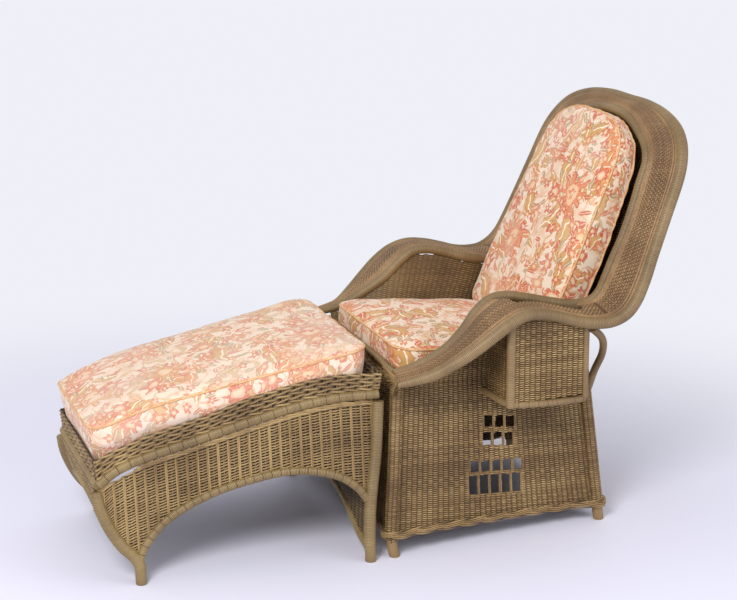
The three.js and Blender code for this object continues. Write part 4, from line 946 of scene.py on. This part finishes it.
def braid():
    """Three groups of three strands that rise and sink past each other, with painted shade where
    they lie further in.
    """
    piece = Piece()
    curve = braid_path()
    count = int(curve.length / 170.0)
    u = np.linspace(0, 1, count * 14 + 1)
    line = curve.at(u)
    up = np.array([0, 0, 1.0])
    out = unit(np.cross(unit(np.gradient(line, axis=0)), up))
    for k in range(3):
        phase = 2 * np.pi * (u * count + k / 3)
        for d in (-4.4, 0.0, 4.4):
            rise, side = 4.4 * np.sin(phase) + d, 2.6 * np.sin(2 * phase)
            strands(piece, line + up * rise[:, None] + out * side[:, None], out, 1.5, 1.4,
                    tone=RNG.random(), low=0.48 + 0.26 * np.sin(2 * phase))
    piece.make("floor_braid", WICKER, "chair", ["bottom_braid"])


braid()


# ---- deck and pocket
def deck_z(y):
    return SEAM - 8 - 4 - 44 * y / DEPTH


DECK_FROM, DECK_TO, DECK_STAKES, DECK_ROWS = 26, 450, 18, 70
DECK_WEAVE = {"swing": 2.0, "thick": 1.5, "fill": 0.84}


def seat_deck(s, t):
    y = DECK_FROM + (DECK_TO - DECK_FROM) * t / DECK_ROWS
    return grid((2 * s / DECK_STAKES - 1) * (side_x(y, deck_z(y)) - 7), y, deck_z(y))


woven("deck_weave", "seat_deck", seat_deck, DECK_STAKES, DECK_ROWS, (0, 0, 1), **DECK_WEAVE)
POCKET_STAKES, POCKET_END_STAKES, POCKET_ROWS = 14, 8, 74
BASE_STAKES, BASE_ROWS, BASE_FROM, BASE_TO = 8, 20, 246, 346
outer_fine = outer_row(np.linspace(0, BACK_ROW + 2, 400))


def arm_over(y):
    """The height of the arm's roll over the pocket."""
    k = np.searchsorted(np.maximum.accumulate(outer_fine[:, 1]), y)
    return outer_fine[np.clip(k, 0, 399), 2]


def pocket_x(y):
    return POCKET_OUTER - POCKET_TURN * (y - POCKET_FRONT) / (POCKET_REAR - POCKET_FRONT)


def pocket_z(t):
    return POCKET_FLOOR + 5 + ROW_PITCH * t


def pocket_outer(s, t):
    y = POCKET_FRONT + (POCKET_REAR - POCKET_FRONT) * s / POCKET_STAKES
    return grid(pocket_x(y), y, pocket_z(t))


def pocket_outer_in(s, t):
    p = pocket_outer(s, t)
    return p[..., 2] < arm_over(p[..., 1]) - 7


woven("pocket_front_face", "pocket_outer_panel", pocket_outer, POCKET_STAKES, POCKET_ROWS,
      (1, 0, 0), pocket_outer_in, thick=1.1, swing=2.8, thin=0.9)
for where, y0, out in (("front", POCKET_FRONT, -1), ("rear", POCKET_REAR, 1)):
    wall_x = side_x(y0, SEAM)

    def pocket_end(s, t):
        arm = np.interp(pocket_z(t), [SEAM, 540], [wall_x, wall_x - 2])
        return grid(arm + (pocket_x(y0) - arm) * (s / POCKET_END_STAKES), y0, pocket_z(t))

    def pocket_end_in(s, t):
        p = pocket_end(s, t)
        return (p[..., 2] < arm_over(y0) - 9) & (p[..., 0] > wall_x + 2)

    woven(f"pocket_{where}_end", f"pocket_{where}_panel", pocket_end, POCKET_END_STAKES,
          POCKET_ROWS, (0, out, 0), pocket_end_in, thick=1.1, fill=0.84, swing=2.6, thin=0.9)


def pocket_base(s, t):
    y = POCKET_FRONT + 6 + (POCKET_REAR - POCKET_FRONT - 12) * s / BASE_STAKES
    return grid(BASE_FROM + (BASE_TO - BASE_FROM) * t / BASE_ROWS, y, POCKET_FLOOR)


woven("pocket_base", "pocket_floor", pocket_base, BASE_STAKES, BASE_ROWS, (0, 0, -1), swing=1.8,
      thick=1.5, fill=0.84, stake_r=2.0)
for y, radius, where in ((POCKET_FRONT, 11, "front"), (POCKET_REAR, 8, "rear")):
    x, top = pocket_x(y), arm_over(y) - 12
    pole(f"pocket_post_{where}", f"pocket_{where}_post",
         [(x, y, POCKET_FLOOR - 4), (x, y, (POCKET_FLOOR + top) / 2), (x, y, top)], radius - 0.8,
         turn=4.0, groove=0.25)
front_x, rear_x = side_x(POCKET_FRONT, SEAM), side_x(POCKET_REAR, SEAM)
pole("pocket_rail_wrap", "pocket_rail", [
    (front_x + 6, POCKET_FRONT - 11, POCKET_FLOOR),
    (front_x + (POCKET_OUTER - front_x) * 0.9, POCKET_FRONT - 0.5, POCKET_FLOOR),
    (pocket_x(POCKET_FRONT + 11), POCKET_FRONT + 11, POCKET_FLOOR),
    (pocket_x(POCKET_REAR - 11), POCKET_REAR - 11, POCKET_FLOOR - 8),
    (rear_x + (POCKET_OUTER - rear_x) * 0.9, POCKET_REAR, POCKET_FLOOR - 8),
    (rear_x + 6, POCKET_REAR, POCKET_FLOOR - 8)], 7.7, turn=2.6, seam=9, sides=10)

# ---- ottoman: poles and ends
rail_pts, arch_pts = otto(TOP_RAIL), otto(ARCH)
near_pts, far_pts = otto(NEAR_LEG), otto(FAR_LEG)
for hand, sign in HANDS:
    for end, points in (("chair_end", near_pts), ("far_end", far_pts)):
        piece = Piece()
        curve = Curve(points * (sign, 1, 1))
        line = curve.at(FINE)
        peg(piece, line, (18, 38, 46))
        wrapped(piece, curve, 13.5, start=np.interp(37, line[:, 2], FINE), groove=0.8, shade=0.0)
        piece.make(f"ottoman_{end}_leg_{hand}", CANE, "ottoman",
                   [f"ottoman_leg_{end}_{hand}"])
    for kind, points, radius, turn, seam in (("rail", rail_pts, 11.2, 3.0, 10),
                                             ("arch", arch_pts, 9.7, 3.4, 6)):
        pole(f"ottoman_side_{kind}_{hand}", f"ottoman_{kind}_{hand}", points * (sign, 1, 1), radius,
             "ottoman", turn=turn, groove=0.6, seam=seam, seam_deep=1.4, shade=0.0)

END_PITCH = 3.2


def leg_at(points, z):
    return interp(z, points[:, 2], points[:, :2])


for end, table, legs, rail_end, stakes, stake_r, out in (
        ("chair_end", END_ARCH, near_pts, rail_pts[1], 22, 0.0, 1),
        ("far_end", FAR_ARCH, far_pts, rail_pts[-1], 18, 2.0, -1)):
    x, z = (np.array(table) / 1000 * (OTTO_HALF, OTTO_HEIGHT)).T
    half = grid(x, leg_at(legs, z)[:, 1], z)
    arch = np.vstack([half[1:][::-1] * (-1, 1, 1), half])
    pole(f"ottoman_{end}_arch", f"ottoman_arch_{end}", arch, 8.7, "ottoman", turn=3.2, groove=0.5,
         seam=7, seam_deep=0.8)
    pole(f"ottoman_{end}_rail", f"ottoman_rail_{end}",
         [rail_end * (-1, 1, 1), rail_end * (0, 1, 1), rail_end], 11.2, "ottoman", turn=2.6,
         groove=0.5, seam=12, seam_deep=1.2)
    arch_line = Curve(arch).at(np.linspace(0, 1, 300))

    def end_at(s, t):
        z = rail_end[2] - 8 - END_PITCH * t
        edge = leg_at(legs, z)
        return grid((2 * s / stakes - 1) * (edge[..., 0] - 6), edge[..., 1], z)

    def end_in(s, t):
        p = end_at(s, t)
        return p[..., 2] > np.interp(p[..., 0], arch_line[:, 0], arch_line[:, 2]) + 4

    woven(f"ottoman_{end}_weave", f"ottoman_panel_{end}", end_at, stakes,
          int((rail_end[2] - 60) / END_PITCH), (0, out, 0), end_in, "ottoman", thick=1.1,
          fill=0.84, swing=2.6, stake_r=stake_r)

# ---- ottoman: sides
rail_curve = Curve(rail_pts)
rail_line = rail_curve.at(np.linspace(0, 1, 600))[::-1]
lower = np.vstack([near_pts[::-1][:-4], Curve(arch_pts).at(FINE)[3:-3], far_pts[2:]])[::-1]
OTTO_STAKES, OTTO_ROWS, OTTO_PITCH = 54, 38, 6.2
OTTO_FROM, OTTO_TO = float(near_pts[-1, 1]) - 4, float(far_pts[-1, 1]) + 4


def side_surface(y, z):
    (xr, zr), (xl, zl) = edge_at(rail_line, y), edge_at(lower, y)
    f = np.clip((zr - z) / np.maximum(zr - zl, 25), -0.2, 1.2)
    return grid(xr + (xl - xr) * f, y, z)


def otto_yz(s, t):
    y = OTTO_FROM + (OTTO_TO - OTTO_FROM) * s / OTTO_STAKES
    return y, edge_at(rail_line, y)[1] - 22 - OTTO_PITCH * t


def otto_inside(y, z):
    """Between the rail and the arch, with a slit under the rail at either end."""
    along = (y - OTTO_FROM) / (OTTO_TO - OTTO_FROM)
    slit = 13 * np.sin(np.pi * np.clip((along - 0.84) / 0.14, 0, 1))
    slit = slit + 5 * np.sin(np.pi * np.clip((along - 0.03) / 0.12, 0, 1))
    return (z < edge_at(rail_line, y)[1] - 8 - slit) & (z > edge_at(lower, y)[1] + 3)


for hand, sign in HANDS:
    def at(s, t):
        return side_surface(*otto_yz(s, t)) * (sign, 1, 1)

    def inside(s, t):
        return otto_inside(*otto_yz(s, t))

    piece = Piece()
    out = (sign, 0, 0.2)
    weave(piece, at, OTTO_STAKES, OTTO_ROWS, out, inside, thick=1.7, fill=0.58, swing=1.1, sides=6,
          together=True, wobble=0.07, dip=0.12)
    k = np.arange(OTTO_STAKES + 1, dtype=float)
    T, K = np.meshgrid(np.arange(-2, OTTO_ROWS + 0.1, 0.5), k)
    paired = (k % 2 == 1)[:, None]
    for off in (-0.13, 0.13):
        S = np.clip(K + np.where(paired, off, 0), 0, OTTO_STAKES)
        strands(piece, at(S, T), normals_of(at, S, T, out), 1.7, 2.0, inside(S, T),
                tone=RNG.random(len(k)), low=np.where(paired, 0.8, 0.5))
    # slanting strands twined under the rail, in two rows, with painted shade at their ends where
    # they sink into the weave
    pitch = (OTTO_TO - OTTO_FROM) / 30
    f = np.linspace(0, 1, 13)
    Y = OTTO_FROM + pitch * np.arange(29.0)[:, None] + pitch * 2.1 * f
    out = unit(np.array([sign, 0.06, 0.15]))
    for above, below in ((11.5, 17.0), (16.0, 22.0)):
        Z = edge_at(rail_line, Y)[1] - (below + (above - below) * f)
        line = side_surface(Y, Z) * (sign, 1, 1) + out * (1.2 + 3.2 * np.sin(np.pi * f))[:, None]
        shown = otto_inside(Y, np.minimum(Z, edge_at(rail_line, Y)[1] - 9))
        strands(piece, line, out, 2.5, 2.1, shown, tone=RNG.random(29),
                low=0.3 + 0.7 * np.sin(np.pi * f))
    piece.make(f"ottoman_side_{hand}", WILLOW, "ottoman", [f"ottoman_panel_{hand}"])

# ---- ottoman: galleries and deck
gallery_curve = Curve(otto(GALLERY_TOP))


def gallery_piece(end, at, length, out):
    """Thick wefts that cross between paired stakes, with open lenses between them."""
    piece = Piece()
    stakes = int(round(length / 31))
    levels, per = 5, 8

    def place(s, t):
        return at(s / stakes, t / (levels - 0.2))

    s = np.linspace(0, stakes, stakes * per + 1)
    S = s[None]
    for row in range(levels):
        for turned in (0, 1):
            sway = 0.2 * np.sin(np.pi * s + np.pi * (row + turned))
            T = np.clip((row + 0.3 + sway)[None], 0.02, levels - 0.1)
            n = normals_of(place, S, T, out)
            front = np.cos(np.pi * s + np.pi * turned)
            # the wefts take painted shade where they pass behind the stakes
            strands(piece, place(S, T) + n * (2.5 * front)[None, :, None], n, 2.6, 2.1,
                    tone=RNG.random(), low=0.5 + 0.5 * front)
    T, K = np.meshgrid(np.linspace(0, levels - 0.3, 12), np.arange(stakes + 1, dtype=float))
    for off in (-0.09, 0.09):
        S = np.clip(K + off, 0.02, stakes - 0.02)
        strands(piece, place(S, T), normals_of(place, S, T, out), 2.3, 2.0,
                tone=RNG.random(stakes + 1), low=0.4)
    piece.make(f"gallery_{end}", WILLOW, "ottoman", [f"ottoman_gallery_{end}"])


for hand, sign in HANDS:
    def side_gallery(u, v):
        a, b = rail_curve.at(u), gallery_curve.at(u)
        lift = 11.0 / np.linalg.norm(b - a, axis=-1, keepdims=True)
        f = lift + (1.0 - lift) * np.asarray(v, float)[..., None]
        return (a + (b - a) * f) * (sign, 1, 1)

    gallery_piece(hand, side_gallery, rail_curve.length, (sign, 0, 0))
for end, low, high, out in (("chair_end", rail_pts[1], otto(GALLERY_TOP)[0], 1),
                            ("far_end", rail_pts[-1], otto(GALLERY_TOP)[-1], -1)):
    def end_gallery(u, v):
        p = low + (high - low) * (0.24 + 0.76 * np.asarray(v, float)[..., None])
        return grid((2 * np.asarray(u, float) - 1) * p[..., 0], p[..., 1], p[..., 2])

    gallery_piece(end, end_gallery, 2 * low[0], (0, out, 0))

deck_curve = Curve(otto(OTTO_DECK))
OTTO_DECK_ROWS = 100


def ottoman_deck(s, t):
    p = deck_curve.at(t / OTTO_DECK_ROWS)
    return grid((2 * s / DECK_STAKES - 1) * (p[..., 0] - 6), p[..., 1], p[..., 2])


woven("ottoman_deck_weave", "ottoman_deck", ottoman_deck, DECK_STAKES, OTTO_DECK_ROWS, (0, 0, 1),
      None, "ottoman", **DECK_WEAVE)


# ---- cushions
# Rings of a cushion run over its base (inset), up its side (level) and over its top (inset)
BASE_INSETS = (0.96, 0.8, 0.6, 0.4, 0.25, 0.12, 0.05, 0.02)
TOP_INSETS = (0.015, 0.035, 0.06, 0.09, 0.13, 0.18, 0.24, 0.31, 0.39, 0.48, 0.58, 0.68, 0.78, 0.88,
              0.96)
FLAT_LEVELS = (0.0, 0.03, 0.06, 0.09, 0.13, 0.2, 0.3, 0.4, 0.5, 0.6, 0.7, 0.8, 0.87, 0.91, 0.94,
               0.97, 1.0)
BACK_LEVELS = (0.0, 0.04, 0.08, 0.12, 0.2, 0.3, 0.4, 0.5, 0.6, 0.7, 0.8, 0.86, 0.9, 0.94, 0.97, 1.0)
MIDDLE_RING = len(BASE_INSETS) + 8
ROLL_FADE = 16  # how fast the rounding of an edge dies away over the top


def ring_plan(levels):
    return ([(inset, 0.0) for inset in BASE_INSETS] + [(0.0, level) for level in levels]
            + [(inset, 1.0) for inset in TOP_INSETS])


def loop_outline(half, corner):
    """Closed plan outline as (kx, dx, b): x = kx * width + dx, and b along the length."""
    out = []
    straight = half - corner
    quarter = np.linspace(0, np.pi / 2, 14)[1:-1]
    for s in (1, -1):
        out += [(s, 0, b) for b in np.linspace(-s * straight, s * straight, 34)]
        out += [(s, -s * corner * (1 - math.cos(q)), s * (straight + corner * math.sin(q)))
                for q in quarter]
        out += [(k, -k * corner, s * half) for k in np.linspace(s, -s, 34)]
        out += [(-s, s * corner * (1 - math.cos(q)), s * (straight + corner * math.sin(q)))
                for q in quarter[::-1]]
    return np.array(out, float)


def crown_of(inset):
    return 1 - (1 - inset) ** 2.6


def tucked(x, y, mid, level):
    """Draws the side in near its piped edges, and swells it between them."""
    tuck = 4.0 * (abs(2 * level - 1)) ** 6 - 2.5 * (1 - (2 * level - 1) ** 2)
    shrink = 1 - tuck / np.maximum(np.hypot(x, y - mid), 60)
    return x * shrink, mid + (y - mid) * shrink


def noise(points, scale, seed):
    off = Vector((seed * 7.3, seed * 3.1, seed * 5.7))
    return np.array([field.noise(Vector(p * scale) + off) for p in points])


def cushion_mesh(name, body, node, plan, rings, tops, thick, side_from, upper_pipe, seed):
    """rings[i, j] in mm from the middle of the base to the middle of the top. The print lies on
    tops, and on the side by the way round and the height from side_from. The pipes' rings are
    the second above the base's edge and upper_pipe below the top's edge."""
    count, around = rings.shape[:2]
    flat = rings.reshape(-1, 3)
    centre = flat.mean(0)
    way_round = run_of(np.vstack([rings[MIDDLE_RING], rings[MIDDLE_RING][:1]]))
    insets, levels = np.array(plan).T
    side_uv = np.stack(np.meshgrid(way_round, levels * thick + side_from), -1)
    on_side = (insets[:-1] == 0) & (insets[1:] == 0)
    pipes = len(BASE_INSETS) + 2, count - len(TOP_INSETS) - upper_pipe
    e1 = np.roll(rings, -1, 1) - np.roll(rings, 1, 1)
    e2 = np.gradient(rings, axis=0)
    normal = unit(np.cross(e1, e2)).reshape(-1, 3)
    if np.mean(np.sum(normal * (flat - centre), 1)) < 0:
        normal = -normal
    # slow swells, and gathers that die away from the piped edges
    swell = noise(flat, 0.010, seed) * 3.0 + noise(flat, 0.03, seed + 1) * 1.1
    near = np.max([np.exp(-np.abs(np.arange(count) - i) / 2.6) for i in pipes], axis=0)
    edge = np.arange(around)
    gather = np.sin(edge * 1.3 + 3 * np.sin(edge * 0.21 + seed)) * 0.7
    swell = swell + (near[:, None] * gather[None]).reshape(-1)
    flat = flat + normal * swell[:, None]
    i, j = np.meshgrid(np.arange(count - 1), np.arange(around), indexing="ij")
    corners = [np.where(on_side[:, None, None], side_uv[a, b], tops[a, b % around])
               for a, b in ((i, j), (i, j + 1), (i + 1, j + 1), (i + 1, j))]
    uv = np.concatenate([np.stack(corners, 2).reshape(-1, 2), tops[0, ::-1], tops[-1]])
    mesh = bpy.data.meshes.new(name)
    faces = grid_quads(count, around, wrap=True).tolist()
    faces += [range(around)[::-1], range((count - 1) * around, count * around)]
    mesh.from_pydata(((flat + SHIFT) / 1000).tolist(), [], [tuple(f) for f in faces])
    mesh.uv_layers.new(name="cloth").data.foreach_set("uv", (uv / 1000).ravel())
    obj = show(name, mesh)
    dress(obj, FABRICS[name], body, [node])
    for n, p in enumerate(pipes):
        piece = Piece()
        line = flat.reshape(count, around, 3)[p]
        line = line + unit(line - centre) * 1.2
        strands(piece, np.vstack([line, line[:2]]), (0.02, 0.03, 1.0), 2.4, 2.4, sides=8)
        piece.make(f"{name}_piping_{n}", PIPING, body)


def boxed(name, body, node, y0, y1, low_y, high_y, width, base, top, crown, seed, corner=46):
    """A boxed cushion that lies flat. low_y and high_y move its ends at the base and the top."""
    roll, pull = 5.5, 4.0
    half = abs(y1 - y0) / 2
    kx, dx, b = loop_outline(half, corner).T
    share = b / half
    plan = ring_plan(FLAT_LEVELS)
    rings = []
    for q, level in plan:
        ends = [y + np.interp(level, [0, 1], moves)
                for y, *moves in zip((y0, y1), low_y, high_y)]
        mid, reach = (ends[0] + ends[1]) / 2, share * abs((ends[1] - ends[0]) / 2)
        drawn_in = pull * (1 - share ** 2) * np.abs(kx)
        x = (kx * (width(mid + reach, level) - drawn_in * level) + dx) * (1 - q)
        x, y = tucked(x, mid + reach * (1 - q), mid, level)
        low, high = base(y), top(y)
        if q == 0:
            z = low + (high - roll - low) * level
        elif level == 0:
            z = low
        else:
            z = high - roll * math.exp(-q * ROLL_FADE) + crown * crown_of(q)
        rings.append(grid(x, y, z))
    rings = np.array(rings)
    middle_y = rings[MIDDLE_RING][:, 1]
    thick = float(np.mean(top(middle_y) - base(middle_y)))
    cushion_mesh(name, body, node, plan, rings, rings[..., :2], thick, 1300, 2, seed)


boxed("seat_pad", "chair", "seat_cushion", front_y(FRONT_TOP) + 7.5, 0.86 * DEPTH - 30, (0, 0),
      (3, 0), lambda y, level: side_x(y, SEAM) - 4.5 - 6.0, lambda y: deck_z(y) + 4.8,
      lambda y: deck_z(y) + 99.5, 21, 1, corner=62)

u = np.linspace(0, 1, 300)
welt = Curve(otto(WELT)).at(u)[::-1]
deck_line, gallery_line = deck_curve.at(u)[::-1], gallery_curve.at(u)[::-1]


def ottoman_width(y, level):
    over = edge_at(welt, y)[0]
    between = np.minimum(over, edge_at(gallery_line, y)[0] - 7)
    return between + (over - between) * smoothstep(np.asarray(level, float), 0.4, 0.6)


boxed("ottoman_pad", "ottoman_cushion", "ottoman_cushion", -641.8, -37.1, (0, -12), (-26, 0),
      ottoman_width, lambda y: edge_at(deck_line, y)[1] + 4.8, lambda y: edge_at(welt, y)[1] + 7,
      16, 2)

# The back cushion stands in its own plane
BACK_SHARES = [
    (0.86, 0, 0), (0.955, 0.012, 0), (0.99, 0.04, 0), (1, 0.1, 0), (1, 0.34, 0), (0.975, 0.47, 0),
    (0.945, 0.64, 0), (0.925, 0.76, 0), (0.885, 0.85, 0), (0.79, 0.915, 0), (0.64, 0.957, 0),
    (0.44, 0.985, 0), (0.22, 0.998, 0), (0, 1, 0)]
TILT = math.radians(25)
FACE_UP = np.array([0, math.sin(TILT), math.cos(TILT)])
FACE_OUT = np.array([0, -math.cos(TILT), math.sin(TILT)])
BACK_LENGTH, BACK_HALF, BACK_THICK = 547, 209, 76
BACK_FOOT = np.array([0, 540.0, 750.0]) - FACE_UP * 339.4 + FACE_OUT * 12


def back_cushion():
    roll, crown = 5.0, 14
    half = Curve(np.array(BACK_SHARES) * (BACK_HALF, BACK_LENGTH, 0)).at(np.linspace(0, 1, 90))
    loop = np.vstack([half, (half * (-1, 1, 1))[::-1][1:]])
    foot = [(-x, loop[0, 1], 0) for x in np.linspace(loop[0, 0], -loop[0, 0], 26)[1:-1]]
    loop = np.vstack([loop, foot])
    mid = BACK_LENGTH / 2
    plan = ring_plan(BACK_LEVELS)
    rings, tops = [], []
    for q, level in plan:
        a, b = tucked(loop[:, 0] * (1 - q), mid + (loop[:, 1] - mid) * (1 - q), mid, level)
        thin = 1 - 0.45 * (np.clip(b / BACK_LENGTH, 0, 1)) ** 4
        if q == 0:
            out = -BACK_THICK * (1 - level) * thin - roll * level
        elif level == 0:
            out = -BACK_THICK * thin
        else:
            out = np.full(len(a), -roll * math.exp(-q * ROLL_FADE) + crown * crown_of(q))
        rings.append(BACK_FOOT + a[:, None] * (1, 0, 0) + b[:, None] * FACE_UP
                     + out[:, None] * FACE_OUT)
        tops.append(np.stack([a, b + 4000], -1))
    cushion_mesh("back_pad", "back_cushion", "back_cushion", plan, np.array(rings), np.array(tops),
                 BACK_THICK, 2600, 3, 3)


back_cushion()

# ---- floor and light
floor_mesh = bpy.data.meshes.new("floor")
floor_mesh.from_pydata([(-60, -60, 0), (60, -60, 0), (60, 60, 0), (-60, 60, 0)], [], [(0, 1, 2, 3)])
floor = show("floor", floor_mesh)
# The floor fades into an evenly lit backdrop away from the chair
g = Graph(bpy.data.materials.new("studio_floor"))
g.put(g.shader.inputs["Base Color"], srgb(230, 228, 242))
g.put(g.shader.inputs["Roughness"], 0.7)
place = g.vec("SUBTRACT", g.node("NewGeometry").outputs["Position"], (0.3, -0.4, 0))
reach = g.node("VectorMath", {0: place}, operation="LENGTH").outputs["Value"]
seen = g.node("LightPath").outputs["Is Camera Ray"]
glow = g.node("Emission", {"Color": srgb(239, 240, 247)})
blend = g.node("MixShader", {0: g.mul(g.step(reach, 1.05, 2.5), seen), 1: g.shader.outputs[0],
                             2: glow.outputs[0]})
g.put(g.nodes["Material Output"].inputs["Surface"], blend.outputs[0])
floor_mesh.materials.append(g.owner)
# The world lights the scene less than it shows to the camera
g = Graph(bpy.data.worlds.new("studio"))
bpy.context.scene.world = g.owner
rays = g.node("LightPath").outputs
seen = rays["Is Camera Ray"]
for kind in ("Is Glossy Ray", "Is Transmission Ray"):
    seen = g.node("Math", {0: seen, 1: rays[kind]}, operation="ADD", use_clamp=True).outputs[0]
g.put(g.shader.inputs["Color"], srgb(236, 238, 244))
g.put(g.shader.inputs["Strength"], g.math("MULTIPLY_ADD", seen, 0.2, 0.8))


def lamp(name, place, aim, size, power):
    data = bpy.data.lights.new(name, "AREA")
    data.shape, data.size, data.energy = "DISK", size, power
    obj = show(name, data)
    obj.location = place
    obj.rotation_mode = "QUATERNION"
    obj.rotation_quaternion = (Vector(aim) - Vector(place)).to_track_quat("-Z", "Y")


lamp("key", (2.6, -2.2, 3.0), (0, 0, 0.4), 1.6, 120)
lamp("fill", (3.0, 2.4, 1.6), (0, 0, 0.4), 2.4, 30)
bpy.context.scene.view_settings.view_transform = "Standard"

SLOTS = {"wicker": WICKER, "wrap": WRAP, "fabric": FABRICS["seat_pad"]}
for name, node in frame["nodes"].items():
    slot = next(p["material_slot"] for p in frame["record"]["subparts"] if p["node"] == name)
    node.data.materials.clear()
    node.data.materials.append(SLOTS[slot])
